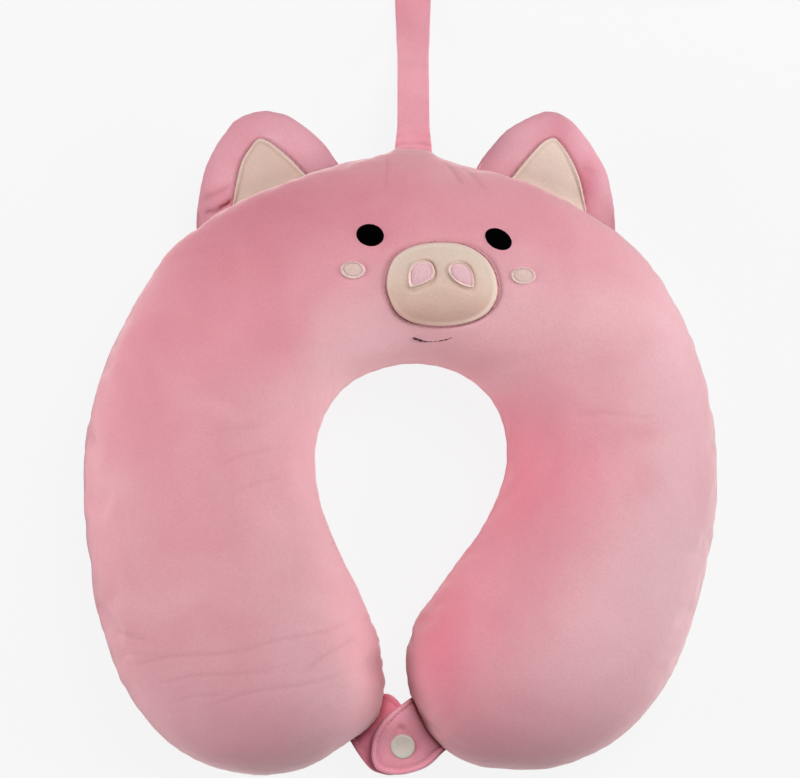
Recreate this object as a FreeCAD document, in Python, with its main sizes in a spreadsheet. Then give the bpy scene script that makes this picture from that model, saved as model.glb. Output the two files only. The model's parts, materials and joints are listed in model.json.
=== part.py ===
import FreeCAD, Part
import math
import os
import re

# A fibre-filled, U shaped neck pillow with a pig's face. It lies on its back with
# the face up. The head is at +Y, the two lobes at -Y, and the neck goes down
# through the hole along Z. The origin is on the flat underside, under the middle
# of the head. Lengths are in millimetres and angles in degrees.

doc = FreeCAD.newDocument("NeckPillow")
sheet = doc.addObject("Spreadsheet::Sheet", "Sizes")

sizes = {
    # the stuffed ring
    "hole_x": 5.0,
    "hole_y": -99.5,
    "seam_height": 41.0,
    "cover_cloth": 2.0,
    "soft_gap": 0.3,
    # the face, each place counted from the middle of the head
    "snout_x": 19.7,
    "snout_y": -16.5,
    "snout_tilt": 10.0,
    "snout_half_width": 33.8,
    "snout_half_height": 22.8,
    "snout_depth": 15.0,
    "snout_sink": 8.0,
    "snout_cloth": 1.2,
    "patch_thickness": 1.2,
    "thread": 0.8,
    "nostril_width": 12.2,
    "nostril_height": 10.6,
    "nostril_left_x": -8.8,
    "nostril_right_x": 9.4,
    "nostril_y": 5.1,
    "eye_width": 13.6,
    "eye_height": 10.6,
    "eye_left_x": -14.4,
    "eye_left_y": 7.6,
    "eye_left_turn": -12.0,
    "eye_right_x": 47.4,
    "eye_right_y": 5.7,
    "eye_right_turn": -30.0,
    "cheek_width": 12.0,
    "cheek_height": 8.3,
    "cheek_rim": 1.1,
    "cheek_left_x": -22.7,
    "cheek_left_y": -9.3,
    "cheek_right_x": 59.2,
    "cheek_right_y": -12.1,
    "mouth_x": 15.5,
    "mouth_y": -43.2,
    "mouth_radius": 27.0,
    "mouth_sweep": 40.0,
    # the ears
    "ear_tilt": 6.9,
    "ear_cloth": 1.2,
    "ear_flex": 2.0,
    "lining_cloth": 0.9,
    "lining_base_width": 39.0,
    "lining_tip_width": 9.0,
    "lining_height": 26.5,
    "lining_lean": 3.5,
    # the hanging loop
    "strap_x": 6.7,
    "strap_width": 16.0,
    "strap_ply": 1.2,
    "strap_lead": 8.0,
    "strap_fall": 50.0,
    "strap_floor_gap": 0.3,
    "eye_length": 16.0,
    "eye_bore": 7.0,
    # the closing tabs and their snap
    "tab_ply": 1.5,
    "tab_space": 4.0,
    "tab_corner": 14.0,
    "tab_hem": 3.0,
    "upper_tab_turn": 216.0,
    "upper_tab_shift": 2.8,
    "upper_tab_length": 35.5,
    "upper_tab_width": 32.5,
    "lower_tab_turn": 318.0,
    "lower_tab_shift": -3.4,
    "lower_tab_length": 30.0,
    "lower_tab_width": 30.2,
    "snap_reach": 16.8,
    "snap_cap_width": 12.4,
    "snap_cap_height": 1.4,
    "snap_part_width": 10.8,
    "snap_base": 0.9,
    "snap_post": 3.0,
    "snap_ball": 4.4,
    "snap_ball_height": 1.8,
    "snap_play": 0.7,
    "snap_clearance": 0.3,
    "post_clearance": 0.1,
    # the hand-sewn closing seam on the left arm
    "stitch_length": 5.0,
    "stitch_thickness": 1.2,
    "stitch_pitch": 3.0,
}

# Cross-sections of the ring round the hole: name, direction from the hole,
# distance of the inner and of the outer edge from it, half thickness.
ring_sections = [
    ("left_tip", 263.8, 114.0, 124.0, 4.5),
    ("left_end", 262.5, 106.5, 133.0, 12.0),
    ("left_heel", 260.0, 93.8, 141.5, 22.0),
    ("left_sole", 256.0, 84.5, 152.0, 31.5),
    ("left_lobe", 248.0, 71.5, 171.0, 39.5),
    ("left_wrist", 235.0, 61.5, 185.5, 43.0),
    ("left_arm", 208.0, 51.3, 175.5, 43.0),
    ("left_side", 175.0, 47.7, 161.5, 43.0),
    ("left_temple", 145.0, 47.3, 157.0, 43.0),
    ("left_brow", 118.5, 46.5, 150.0, 43.0),
    ("crown", 90.0, 46.3, 147.5, 43.0),
    ("right_brow", 61.5, 47.7, 147.8, 43.0),
    ("right_temple", 35.0, 49.5, 151.5, 43.0),
    ("right_side", 5.0, 48.7, 152.7, 43.0),
    ("right_arm", -28.0, 48.0, 163.0, 43.0),
    ("right_wrist", -55.0, 54.0, 174.0, 43.0),
    ("right_lobe", -70.0, 60.8, 167.5, 42.0),
    ("right_sole", -80.0, 70.0, 155.0, 37.5),
    ("right_heel", -85.0, 77.0, 142.0, 30.0),
    ("right_end", -88.0, 83.5, 124.0, 18.5),
    ("right_tip", -90.0, 97.0, 111.0, 6.0),
]

# Cross-sections of an ear from root to tip: name, height above the seam,
# half width, lean towards the crown, half thickness.
ear_sections = [
    ("ear_root", -10.0, 42.0, 0.0, 0.6),
    ("ear_seam", 1.5, 37.0, 0.5, 0.9),
    ("ear_low", 11.0, 32.5, 1.5, 3.6),
    ("ear_middle", 22.0, 27.0, 3.0, 6.2),
    ("ear_high", 31.0, 18.5, 4.5, 5.6),
    ("ear_tip", 36.5, 11.0, 5.2, 3.8),
    ("ear_end", 39.2, 4.5, 5.5, 1.8),
]

for name, turn, inner, outer, rise in ring_sections:
    sizes[name + "_turn"] = turn
    sizes[name + "_inner"] = inner
    sizes[name + "_outer"] = outer
    sizes[name + "_rise"] = rise
for name, height, half_width, lean, half_depth in ear_sections:
    sizes[name + "_height"] = height
    sizes[name + "_half_width"] = half_width
    sizes[name + "_lean"] = lean
    sizes[name + "_half_depth"] = half_depth

for row, (alias, value) in enumerate(sizes.items(), start=1):
    sheet.set(f"A{row}", alias)
    sheet.set(f"B{row}", str(value))
    sheet.setAlias(f"B{row}", alias)
doc.recompute()

across = FreeCAD.Vector(1, 0, 0)
along = FreeCAD.Vector(0, 1, 0)
upward = FreeCAD.Vector(0, 0, 1)
pieces = []


def size(alias):
    return float(sheet.get(alias))


def bind(thing, **expressions):
    """Tie properties to the sheet; an underscore pair stands for a dot."""
    for name, expression in expressions.items():
        text = re.sub(r"[a-z]+(?:_[a-z]+)*", lambda word: tie(word.group()), str(expression))
        thing.setExpression(name.replace("__", "."), text)
    return thing


def tie(word):
    return "Sizes." + word if word in sizes else word


def place(thing, x="0", y="0", z="0", rotation=None):
    if rotation:
        thing.Placement = FreeCAD.Placement(FreeCAD.Vector(), rotation)
    return bind(thing, Placement__Base__x=x, Placement__Base__y=y, Placement__Base__z=z)


def boolean(kind, name, base, tool):
    result = doc.addObject("Part::" + kind, name)
    result.Base = base
    result.Tool = tool
    return result


def cut(name, base, *tools):
    for tool in tools:
        base = boolean("Cut", name, base, tool)
    return base


def common(name, base, tool):
    return boolean("Common", name, base, tool)


def fuse(name, *parts):
    result = doc.addObject("Part::MultiFuse", name)
    result.Shapes = list(parts)
    return result


def box(name, length, width, height, x, y, z, rotation=None):
    block = bind(doc.addObject("Part::Box", name), Length=length, Width=width, Height=height)
    return place(block, x, y, z, rotation)


def cylinder(name, radius, height, x="0", y="0", z="0"):
    return place(bind(doc.addObject("Part::Cylinder", name), Radius=radius, Height=height), x, y, z)


def oval(name, half_long, half_short, x, y, z, rotation):
    """An ellipse whose long axis lies along the rotated X axis."""
    ring = bind(doc.addObject("Part::Ellipse", name), MajorRadius=half_long, MinorRadius=half_short)
    ring.Angle1 = 0
    ring.Angle2 = 360
    return place(ring, x, y, z, rotation)


def loft(name, sections):
    skin = doc.addObject("Part::Loft", name)
    skin.Sections = sections
    skin.Solid = True
    skin.Ruled = False
    return skin


def piece(label, thing):
    thing.Label = label
    pieces.append(thing)
    return thing


def upper_half(name, thing):
    slab = box(name + "_above", "600", "600", "200", "-300", "-400", "seam_height")
    return common(name, thing, slab)


def floor_half(name, thing, floor="0"):
    slab = box(name + "_below", "600", "600", f"seam_height - ({floor})", "-300", "-400", floor)
    return common(name, thing, slab)


# ---- the stuffed ring ----

def ring(name, grow):
    """The ring's form, grown (or shrunk when negative) by an expression in millimetres."""
    sections = []
    for station, *_ in ring_sections:
        turn = size(station + "_turn")
        end = {"left_tip": 1, "right_tip": -1}.get(station, 0)
        middle = f"({station}_inner + {station}_outer) / 2"
        bearing = f"({station}_turn + {end} * ({grow}) * 57.3 / ({middle}))"
        upright = FreeCAD.Rotation(upward, turn) * FreeCAD.Rotation(across, 90)
        sections.append(oval(
            f"{name}_{station}",
            f"({station}_outer - {station}_inner) / 2 + {grow}",
            f"{station}_rise + {grow}",
            f"hole_x + {middle} * cos({bearing})",
            f"hole_y + {middle} * sin({bearing})",
            "seam_height",
            upright,
        ))
    return loft(name, sections)


def make_ring():
    inside = ring("inside", "-cover_cloth")
    stuffing = ring("stuffing", "-cover_cloth - soft_gap")
    piece("cover_front", cut("front_panel", upper_half("front_half", outside), inside))
    hollow = floor_half("back_hollow", inside, "cover_cloth")
    piece("cover_back", cut("back_panel", floor_half("back_half", outside), hollow))
    room = box("fill_room", "600", "600", "200", "-300", "-400", "cover_cloth + soft_gap")
    piece("fibre_fill", common("fibre", stuffing, room))


outside = ring("outside", "0")
clear_of_ring = ring("clear_of_ring", "soft_gap")
make_ring()


# ---- the face ----

def surface_height(x, y):
    """Height of the head's front at a place, from the crown's cross-section."""
    inner = size("crown_inner")
    outer = size("crown_outer")
    middle = (inner + outer) / 2
    reach = math.hypot(x - size("hole_x"), y - size("hole_y"))
    share = (reach - middle) / (outer - middle)
    return size("seam_height") + size("crown_rise") * math.sqrt(1 - share ** 2)


def oval_prism(name, width, height, x, y, turn=0.0, grow="0", floor="seam_height"):
    """An upright oval column through the face, for cutting a patch out of a skin."""
    long_way, short_way = f"({width}) / 2 + {grow}", f"({height}) / 2 + {grow}"
    rim = oval(name + "_rim", long_way, short_way, x, y, floor, FreeCAD.Rotation(upward, turn))
    column = bind(doc.addObject("Part::Extrusion", name), LengthFwd="100")
    column.Base = rim
    column.Dir = upward
    column.Solid = True
    return column


def make_face_skin():
    """The thin layer that lies on the head, from which the flat patches are cut."""
    above = ring("above_patches", "soft_gap + patch_thickness")
    room = box("head_room", "130", "110", "100", "-50", "-70", "seam_height + 4")
    return cut("face_skin", common("head_skin", above, room), clear_of_ring)


def make_eyes_and_cheeks(skin):
    for side in ("left", "right"):
        turn = size(f"eye_{side}_turn")
        eye = oval_prism(f"eye_{side}_column", "eye_width", "eye_height", f"eye_{side}_x", f"eye_{side}_y", turn)
        piece(f"eye_{side}", common(f"eye_{side}_patch", skin, eye))
        place_of = (f"cheek_{side}_x", f"cheek_{side}_y")
        whole = oval_prism(f"cheek_{side}_column", "cheek_width", "cheek_height", *place_of)
        bore = oval_prism(f"cheek_{side}_bore", "cheek_width", "cheek_height", *place_of, grow="-cheek_rim")
        core = oval_prism(f"cheek_{side}_core", "cheek_width", "cheek_height", *place_of,
                          grow="-cheek_rim - soft_gap")
        rim = cut(f"cheek_{side}_ring", whole, bore)
        piece(f"cheek_{side}_rim", common(f"cheek_{side}_border", skin, rim))
        piece(f"cheek_{side}", common(f"cheek_{side}_patch", skin, core))


def make_mouth(skin):
    """A shallow smile: a short arc of thick thread."""
    sector = []
    for name, half in (("mouth_outer", "+ thread / 2"), ("mouth_inner", "- thread / 2")):
        disc = cylinder(name, f"mouth_radius {half}", "100", "mouth_x", "mouth_y + mouth_radius", "seam_height")
        disc.Placement.Rotation = FreeCAD.Rotation(upward, 270 - size("mouth_sweep") / 2)
        sector.append(bind(disc, Angle="mouth_sweep"))
    piece("mouth_stitch", common("mouth_thread", skin, cut("mouth_arc", *sector)))


def snout_form(name, grow):
    x, y = size("snout_x"), size("snout_y")
    egg = bind(
        doc.addObject("Part::Ellipsoid", name),
        Radius1=f"snout_depth + {grow}",
        Radius2=f"snout_half_width + {grow}",
        Radius3=f"snout_half_height + {grow}",
    )
    lean = FreeCAD.Rotation(across, size("snout_tilt"))
    sunk = FreeCAD.Vector(x, y, surface_height(x, y)) - lean.multVec(upward) * size("snout_sink")
    egg.Placement = FreeCAD.Placement(sunk, lean)
    return egg


def make_snout():
    outer = snout_form("snout_outer", "0")
    inner = snout_form("snout_inner", "-snout_cloth")
    pad = snout_form("snout_pad", "-snout_cloth - soft_gap")
    piece("snout_cover", cut("snout_shell", outer, inner, clear_of_ring))
    piece("snout_wadding", cut("snout_fill", pad, clear_of_ring))

    beyond = snout_form("snout_beyond", "soft_gap + thread")
    near = snout_form("snout_near", "soft_gap")
    layer = cut("snout_layer", beyond, near)
    height = "seam_height + crown_rise - snout_sink"
    for side in ("left", "right"):
        column = oval_prism(f"nostril_{side}_column", "nostril_width", "nostril_height",
                            f"snout_x + nostril_{side}_x", f"snout_y + nostril_y", floor=height)
        piece(f"nostril_{side}", common(f"nostril_{side}_patch", layer, column))
    low = ring("above_thread", "soft_gap + thread")
    cord = cut("snout_cord", common("snout_foot", layer, low), clear_of_ring)
    piece("snout_edge_stitch", cord)


face_skin = make_face_skin()
make_eyes_and_cheeks(face_skin)
make_mouth(face_skin)
make_snout()


# ---- the ears ----

ear_sides = {"left": -1, "right": 1}


def ear_point(side, height, lean):
    """Place of a point in an ear: height out from the seam and lean to the crown."""
    hand = ear_sides[side]
    out = f"({side}_brow_turn + {hand} * ear_tilt)"
    inward = f"({side}_brow_turn + {hand} * ear_tilt + {hand * 90})"
    x = f"hole_x + {side}_brow_outer * cos({side}_brow_turn) + ({height}) * cos({out}) + ({lean}) * cos({inward})"
    y = f"hole_y + {side}_brow_outer * sin({side}_brow_turn) + ({height}) * sin({out}) + ({lean}) * sin({inward})"
    return x, y


def ear_bearing(side):
    return size(f"{side}_brow_turn") + ear_sides[side] * size("ear_tilt")


def ear_form(name, side, grow, first=0):
    turn = FreeCAD.Rotation(upward, ear_bearing(side) + ear_sides[side] * 90) * FreeCAD.Rotation(across, 90)
    last = ear_sections[-1][0]
    sections = []
    for station, *_ in ear_sections[first:]:
        height = f"{station}_height + {grow}" if station == last else f"{station}_height"
        x, y = ear_point(side, height, f"{station}_lean")
        half_long, half_short = f"{station}_half_width + {grow}", f"{station}_half_depth + {grow}"
        sections.append(oval(f"{name}_{station}", half_long, half_short, x, y, "seam_height", turn))
    return loft(name, sections)


def lining_prism(side):
    """A tapered column with a round tip, leaning like the ear."""
    lean = f"{-ear_sides[side]} * lining_lean"
    tip = "(lining_height - lining_tip_width / 2)"
    turn = FreeCAD.Rotation(upward, ear_bearing(side) - 90)
    root = ear_point(side, "0", "0")
    wedge = bind(
        doc.addObject("Part::Wedge", f"lining_{side}_taper"),
        Xmin="-lining_base_width / 2", Xmax="lining_base_width / 2", Ymin="0", Ymax=tip,
        Zmin="0", Zmax="100", X2min=f"{lean} - lining_tip_width / 2", X2max=f"{lean} + lining_tip_width / 2",
        Z2min="0", Z2max="100",
    )
    place(wedge, *root, "seam_height", turn)
    end = ear_point(side, tip, "lining_lean")
    tip_round = cylinder(f"lining_{side}_tip", "lining_tip_width / 2", "100", *end, "seam_height")
    return fuse(f"lining_{side}_column", wedge, tip_round)


def make_ear(side):
    whole = ear_form(f"{side}_ear", side, "0")
    hollow = ear_form(f"{side}_ear_hollow", side, "-ear_cloth", 2)
    pad = ear_form(f"{side}_ear_pad", side, "-ear_cloth - soft_gap", 2)
    front = upper_half(f"{side}_ear_top", whole)
    back = floor_half(f"{side}_ear_under", whole)
    piece(f"{side}_ear_front", cut(f"{side}_ear_face", front, hollow, clear_of_ring))
    piece(f"{side}_ear_back", cut(f"{side}_ear_rear", back, hollow, clear_of_ring))
    piece(f"{side}_ear_wadding", pad)
    over = ear_form(f"{side}_lining_outer", side, "soft_gap + lining_cloth")
    under = ear_form(f"{side}_lining_inner", side, "soft_gap")
    sheet_of_cloth = cut(f"{side}_lining_layer", common(f"{side}_lining_stack", over, lining_prism(side)), under)
    piece(f"{side}_ear_lining", cut(f"{side}_lining", sheet_of_cloth, clear_of_lining))


clear_of_lining = ring("clear_of_lining", "2 * ear_flex")
for side in ear_sides:
    make_ear(side)


# ---- the hanging loop ----

def make_hang_loop():
    """A folded strap: out of the seam, down to the floor, then round an open eye."""
    left = "strap_x - strap_width / 2"
    edge = "hole_y + crown_outer"
    drop = "(seam_height - strap_ply - strap_floor_gap)"
    bend = f"({drop} / (2 - 2 * cos(strap_fall)))"
    bend_start = f"({edge} + strap_lead)"
    fall = size("strap_fall")

    lead = box("strap_lead_run", "strap_width", "strap_lead + 4", "2 * strap_ply",
               left, f"{edge} - 4", "seam_height - strap_ply")
    bands = []
    hubs = {
        "strap_crest": (bend_start, f"seam_height - {bend}", 180 - fall),
        "strap_foot": (f"{bend_start} + 2 * {bend} * sin(strap_fall)",
                       f"seam_height - {bend} + 2 * {bend} * cos(strap_fall)", -fall),
    }
    for name, (y, z, start) in hubs.items():
        turn = FreeCAD.Rotation(along, 90) * FreeCAD.Rotation(upward, start)
        discs = []
        for suffix, radius in (("outer", f"{bend} + strap_ply"), ("inner", f"{bend} - strap_ply")):
            disc = bind(doc.addObject("Part::Cylinder", f"{name}_{suffix}"),
                        Radius=radius, Height="strap_width", Angle="strap_fall")
            discs.append(place(disc, left, y, z, turn))
        bands.append(cut(name, *discs))

    eye_start = f"({hubs['strap_foot'][0]} + eye_bore / 2)"
    outer = stadium("strap_eye", eye_start, "eye_bore / 2 + strap_ply", "strap_width", left)
    bore = stadium("strap_bore", eye_start, "eye_bore / 2", "strap_width + 2", f"{left} - 1")
    clear = cut("strap_root", fuse("strap", lead, *bands, outer), clear_of_ring)
    piece("hang_loop", cut("strap_loop", clear, bore))


def stadium(name, start, radius, width, left):
    """A bar with round ends lying across the strap, for the eye and its bore."""
    middle = "strap_floor_gap + strap_ply + eye_bore / 2"
    straight = "(eye_length - eye_bore)"
    bar = box(name + "_bar", width, straight, f"2 * ({radius})", left, start, f"{middle} - ({radius})")
    ends = []
    for suffix, y in (("_near", start), ("_far", f"{start} + {straight}")):
        end = bind(doc.addObject("Part::Cylinder", name + suffix), Radius=radius, Height=width)
        ends.append(place(end, left, y, middle, FreeCAD.Rotation(along, 90)))
    return fuse(name, bar, *ends)


make_hang_loop()


# ---- the closing tabs ----

def edge_point(*stations):
    """Middle of the outer edge points of the named sections."""
    x = " + ".join(f"{name}_outer * cos({name}_turn)" for name in stations)
    y = " + ".join(f"{name}_outer * sin({name}_turn)" for name in stations)
    return f"(hole_x + ({x}) / {len(stations)})", f"(hole_y + ({y}) / {len(stations)})"


tab_roots = {"upper": edge_point("right_heel", "right_end"), "lower": edge_point("left_end")}
snap_x = (f"{tab_roots['upper'][0]} + snap_reach * cos(upper_tab_turn)"
          " - upper_tab_shift * sin(upper_tab_turn)")
snap_y = (f"{tab_roots['upper'][1]} + snap_reach * sin(upper_tab_turn)"
          " + upper_tab_shift * cos(upper_tab_turn)")


def tab_plate(name, tab, z, thickness, *inset_names):
    """A strip with two round corners at its free end; its root reaches into the lobe."""
    inset = " + ".join(inset_names) or "0"
    buried = "tab_corner / 2"
    aside = f"({tab}_tab_shift - {tab}_tab_width / 2 + {inset})"
    turn = f"{tab}_tab_turn"
    x = f"{tab_roots[tab][0]} - {buried} * cos({turn}) - {aside} * sin({turn})"
    y = f"{tab_roots[tab][1]} - {buried} * sin({turn}) + {aside} * cos({turn})"
    block = box(name + "_block", f"{tab}_tab_length - ({inset}) + {buried}",
                f"{tab}_tab_width - 2 * ({inset})", thickness, x, y, z, FreeCAD.Rotation(upward, size(turn)))
    doc.recompute()
    flat = block.Shape.copy()
    flat.Placement = FreeCAD.Placement()
    radius = size("tab_corner") - sum(size(inset_name) for inset_name in inset_names)
    plate = doc.addObject("Part::Fillet", name)
    plate.Base = block
    plate.Edges = [
        (number, radius, radius)
        for number, edge in enumerate(flat.Edges, start=1)
        if all(abs(vertex.X - block.Length.Value) < 1e-6 for vertex in edge.Vertexes)
        and abs(edge.Vertexes[0].Z - edge.Vertexes[1].Z) > 1e-6
    ]
    return plate


def make_tab(tab, layers, stitch_height):
    """Two plies of cloth with a row of topstitching, and a hole for the snap's post."""
    hole = cylinder(f"{tab}_tab_hole", "snap_post / 2 + post_clearance", "200", snap_x, snap_y)
    for layer, z in layers.items():
        plate = tab_plate(f"{tab}_{layer}_plate", tab, z, "tab_ply")
        piece(f"{tab}_tab_{layer}", cut(f"{tab}_{layer}", plate, clear_of_ring, hole))
    outer = tab_plate(f"{tab}_stitch_outer", tab, stitch_height, "thread / 2", "tab_hem")
    inner = tab_plate(f"{tab}_stitch_inner", tab, stitch_height, "thread / 2", "tab_hem", "thread")
    piece(f"{tab}_tab_stitching", cut(f"{tab}_stitching", outer, inner, clear_of_tab_root))


def make_snap():
    """A round press snap: cap and socket on the upper tab, stud and back cap below."""
    half_space = "tab_space / 2"
    top = f"seam_height + {half_space} + 2 * tab_ply"
    bottom = f"seam_height - {half_space} - 2 * tab_ply"
    post_length = "2 * tab_ply + snap_base - post_clearance"
    socket_height = "(tab_space - snap_base - snap_clearance)"
    stud_base = f"seam_height - {half_space}"
    stud_top = f"{stud_base} + snap_base"
    socket_foot = f"seam_height + {half_space} - {socket_height}"

    def turned(name, radius, height, z):
        return cylinder(name, radius, height, snap_x, snap_y, z)

    cap = turned("cap_disc", "snap_cap_width / 2", "snap_cap_height", top)
    cap_post = turned("cap_post", "snap_post / 2", post_length, f"{top} - ({post_length})")
    piece("snap_cap", fuse("cap", cap, cap_post))

    body = turned("socket_body", "snap_part_width / 2", socket_height, socket_foot)
    cavity = turned("socket_cavity", "snap_ball / 2 + snap_play", f"{socket_height} - snap_base", socket_foot)
    socket_bore = turned("socket_bore", "snap_post / 2 + post_clearance", "tab_space", socket_foot)
    piece("snap_socket", cut("socket", body, cavity, socket_bore))

    base = turned("stud_base", "snap_part_width / 2", "snap_base", stud_base)
    stud_bore = turned("stud_bore", "snap_post / 2 + post_clearance", "snap_base", stud_base)
    ball = turned("stud_ball", "snap_ball / 2", "snap_ball_height", stud_top)
    piece("snap_stud", fuse("stud", cut("stud_ring", base, stud_bore), ball))

    back = turned("back_disc", "snap_cap_width / 2", "snap_cap_height", f"{bottom} - snap_cap_height")
    back_post = turned("back_post", "snap_post / 2", post_length, bottom)
    piece("snap_back_cap", fuse("back_cap", back, back_post))


clear_of_tab_root = ring("clear_of_tab_root", "tab_hem")
make_tab(
    "upper",
    {"lining": "seam_height + tab_space / 2", "face": "seam_height + tab_space / 2 + tab_ply"},
    "seam_height + tab_space / 2 + 2 * tab_ply",
)
make_tab(
    "lower",
    {"face": "seam_height - tab_space / 2 - tab_ply", "lining": "seam_height - tab_space / 2 - 2 * tab_ply"},
    "seam_height - tab_space / 2",
)
make_snap()


# ---- the closing seam ----

def make_closing_seam():
    """Short stitches across the seam on the left arm's inner edge, where it was sewn shut last."""
    first, last = size("left_arm_turn"), size("left_lobe_turn")
    middle = size("left_wrist_turn")
    span = math.radians(last - first) * size("left_wrist_inner")
    count = int(span / size("stitch_pitch"))
    bars = []
    for number in range(count):
        turn = first + (last - first) * (number + 0.5) / count
        near, far = ("left_arm", "left_wrist") if turn < middle else ("left_wrist", "left_lobe")
        share = (turn - size(near + "_turn")) / (size(far + "_turn") - size(near + "_turn"))
        reach = f"({near}_inner + {share} * ({far}_inner - {near}_inner))"
        start = f"({reach} - stitch_length)"
        bars.append(box(
            f"stitch_{number}", "2 * stitch_length", "stitch_thickness", "stitch_length",
            f"hole_x + {start} * cos({turn}) + stitch_thickness / 2 * sin({turn})",
            f"hole_y + {start} * sin({turn}) - stitch_thickness / 2 * cos({turn})",
            "seam_height - stitch_length / 2",
            FreeCAD.Rotation(upward, turn),
        ))
    row = doc.addObject("Part::Compound", "stitch_bars")
    row.Links = bars
    over = ring("above_stitches", "soft_gap + thread")
    near_skin = cut("stitch_layer", common("stitch_stack", row, over), clear_of_ring)
    piece("closing_seam_stitches", near_skin)


make_closing_seam()


# ---- checks and files ----

doc.recompute()
faults = [thing.Name for thing in doc.Objects if {"Invalid", "Error"} & set(thing.State)]
faults += [thing.Label for thing in pieces if thing.Shape.isNull() or not thing.Shape.isValid()]
faults += [thing.Label for thing in pieces if thing.Shape.Volume <= 0 or not thing.Shape.Solids]
if faults:
    raise RuntimeError("failed: " + ", ".join(faults))

os.makedirs("parts", exist_ok=True)
for thing in pieces:
    thing.Shape.exportStep(f"parts/{thing.Label}.step")
    print(f"{thing.Label}: {len(thing.Shape.Solids)} solid(s), {thing.Shape.Volume:.0f} mm3")
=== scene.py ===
import json
import math
from bisect import bisect
import bmesh
import bpy
from mathutils import Matrix, Vector, noise
from mathutils.bvhtree import BVHTree


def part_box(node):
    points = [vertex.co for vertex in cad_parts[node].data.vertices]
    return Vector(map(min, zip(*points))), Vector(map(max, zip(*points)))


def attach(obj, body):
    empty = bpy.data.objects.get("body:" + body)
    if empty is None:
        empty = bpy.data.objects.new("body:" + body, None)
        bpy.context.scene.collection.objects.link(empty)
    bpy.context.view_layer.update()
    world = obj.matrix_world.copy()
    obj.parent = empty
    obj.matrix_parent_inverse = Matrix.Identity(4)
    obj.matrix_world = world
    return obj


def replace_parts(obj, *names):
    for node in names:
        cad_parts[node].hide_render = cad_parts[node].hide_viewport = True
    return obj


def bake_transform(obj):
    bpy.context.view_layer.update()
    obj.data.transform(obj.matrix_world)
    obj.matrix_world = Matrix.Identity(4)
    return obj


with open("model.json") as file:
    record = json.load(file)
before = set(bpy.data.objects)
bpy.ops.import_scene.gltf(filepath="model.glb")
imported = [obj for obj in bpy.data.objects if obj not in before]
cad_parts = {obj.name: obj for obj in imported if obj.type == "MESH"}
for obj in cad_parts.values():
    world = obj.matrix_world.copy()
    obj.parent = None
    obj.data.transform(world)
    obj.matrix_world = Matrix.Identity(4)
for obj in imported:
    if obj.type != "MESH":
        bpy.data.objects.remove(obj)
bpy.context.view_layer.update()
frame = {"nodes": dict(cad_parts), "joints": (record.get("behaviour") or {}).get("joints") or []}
scene = bpy.context.scene
nodes = frame["nodes"]
mm = 0.001
up = Vector((0, 0, 1))
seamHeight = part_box("cover_front")[0].z / mm  # the front and the back panel meet here
holeMiddle = Vector((5.0, -99.5, 0))  # middle of the neck hole, mm


# Small helpers

def middleOf(node):
    low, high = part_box(node)
    return tuple((low + high) / 2 / mm)[:2]


def jointNamed(name):
    return next(joint for joint in frame["joints"] if joint["name"] == name)


def bell(distance, width):
    return math.exp(-(distance / width) ** 2)


def ease(value, low, high):
    share = min(max((value - low) / (high - low), 0), 1)
    return share * share * (3 - 2 * share)


def between(pair, share):
    return pair[0] + (pair[1] - pair[0]) * share


def turned(x, y, degrees):
    angle = math.radians(degrees)
    return x * math.cos(angle) - y * math.sin(angle), x * math.sin(angle) + y * math.cos(angle)


def distanceToLine(x, y, line):
    ax, ay, bx, by = line
    run = Vector((bx - ax, by - ay))
    share = ((x - ax) * run.x + (y - ay) * run.y) / run.length_squared
    return share, ((x - ax) * run.y - (y - ay) * run.x) / run.length


def around(points, middle):
    return [(x - middle[0], y - middle[1]) for x, y in points]


def catmullRom(a, b, c, d, share):
    return b + 0.5 * share * (c - a + share * (2 * a - 5 * b + 4 * c - d + share * (3 * (b - c) + d - a)))


def edgeFinder(points):
    # a smooth closed line through the points, given as its distance from the origin by angle
    count, bearings = len(points), []
    for first in range(count):
        corners = [Vector(points[(first + offset) % count]) for offset in (-1, 0, 1, 2)]
        for step in range(12):
            spot = catmullRom(*corners, step / 12)
            bearings.append((math.atan2(spot.y, spot.x), spot.length))
    bearings.sort()
    angles = [bearing for bearing, _ in bearings]

    def distance(angle):
        angle = math.atan2(math.sin(angle), math.cos(angle))
        later = bisect(angles, angle) % len(angles)
        (lowAngle, low), (highAngle, high) = bearings[later - 1], bearings[later]
        gap = (highAngle - lowAngle) % (2 * math.pi) or 1e-6
        return low + (high - low) * (((angle - lowAngle) % (2 * math.pi)) / gap)
    return distance


def beyondEdge(points, middle):
    # how far a place in plan lies outside that line
    toEdge = edgeFinder(around(points, middle))
    return lambda x, y: (math.hypot(x - middle[0], y - middle[1])
                         - toEdge(math.atan2(y - middle[1], x - middle[0])))


def profileHeight(steps, place):
    # a smooth curve through the steps, without overshoot beyond the last one
    if place <= steps[0][0]:
        return steps[0][1]
    for number in range(len(steps) - 1):
        (low, first), (high, second) = steps[number], steps[number + 1]
        if place <= high:
            before, after = steps[max(number - 1, 0)], steps[min(number + 2, len(steps) - 1)]
            width, share = high - low, (place - low) / (high - low)
            leave = (second - before[1]) / (high - before[0]) * width
            last = number + 2 >= len(steps) - 1
            arrive = 0.0 if last else (after[1] - first) / (after[0] - low) * width
            return (first + (second - first) * (share * share * (3 - 2 * share))
                    + leave * share * (1 - share) ** 2 - arrive * share * share * (1 - share))
    return steps[-1][1]


def linear(hexColour):
    parts = [int(hexColour[place:place + 2], 16) / 255 for place in (1, 3, 5)]
    return [part / 12.92 if part <= 0.04045 else ((part + 0.055) / 1.055) ** 2.4 for part in parts] + [1.0]


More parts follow.
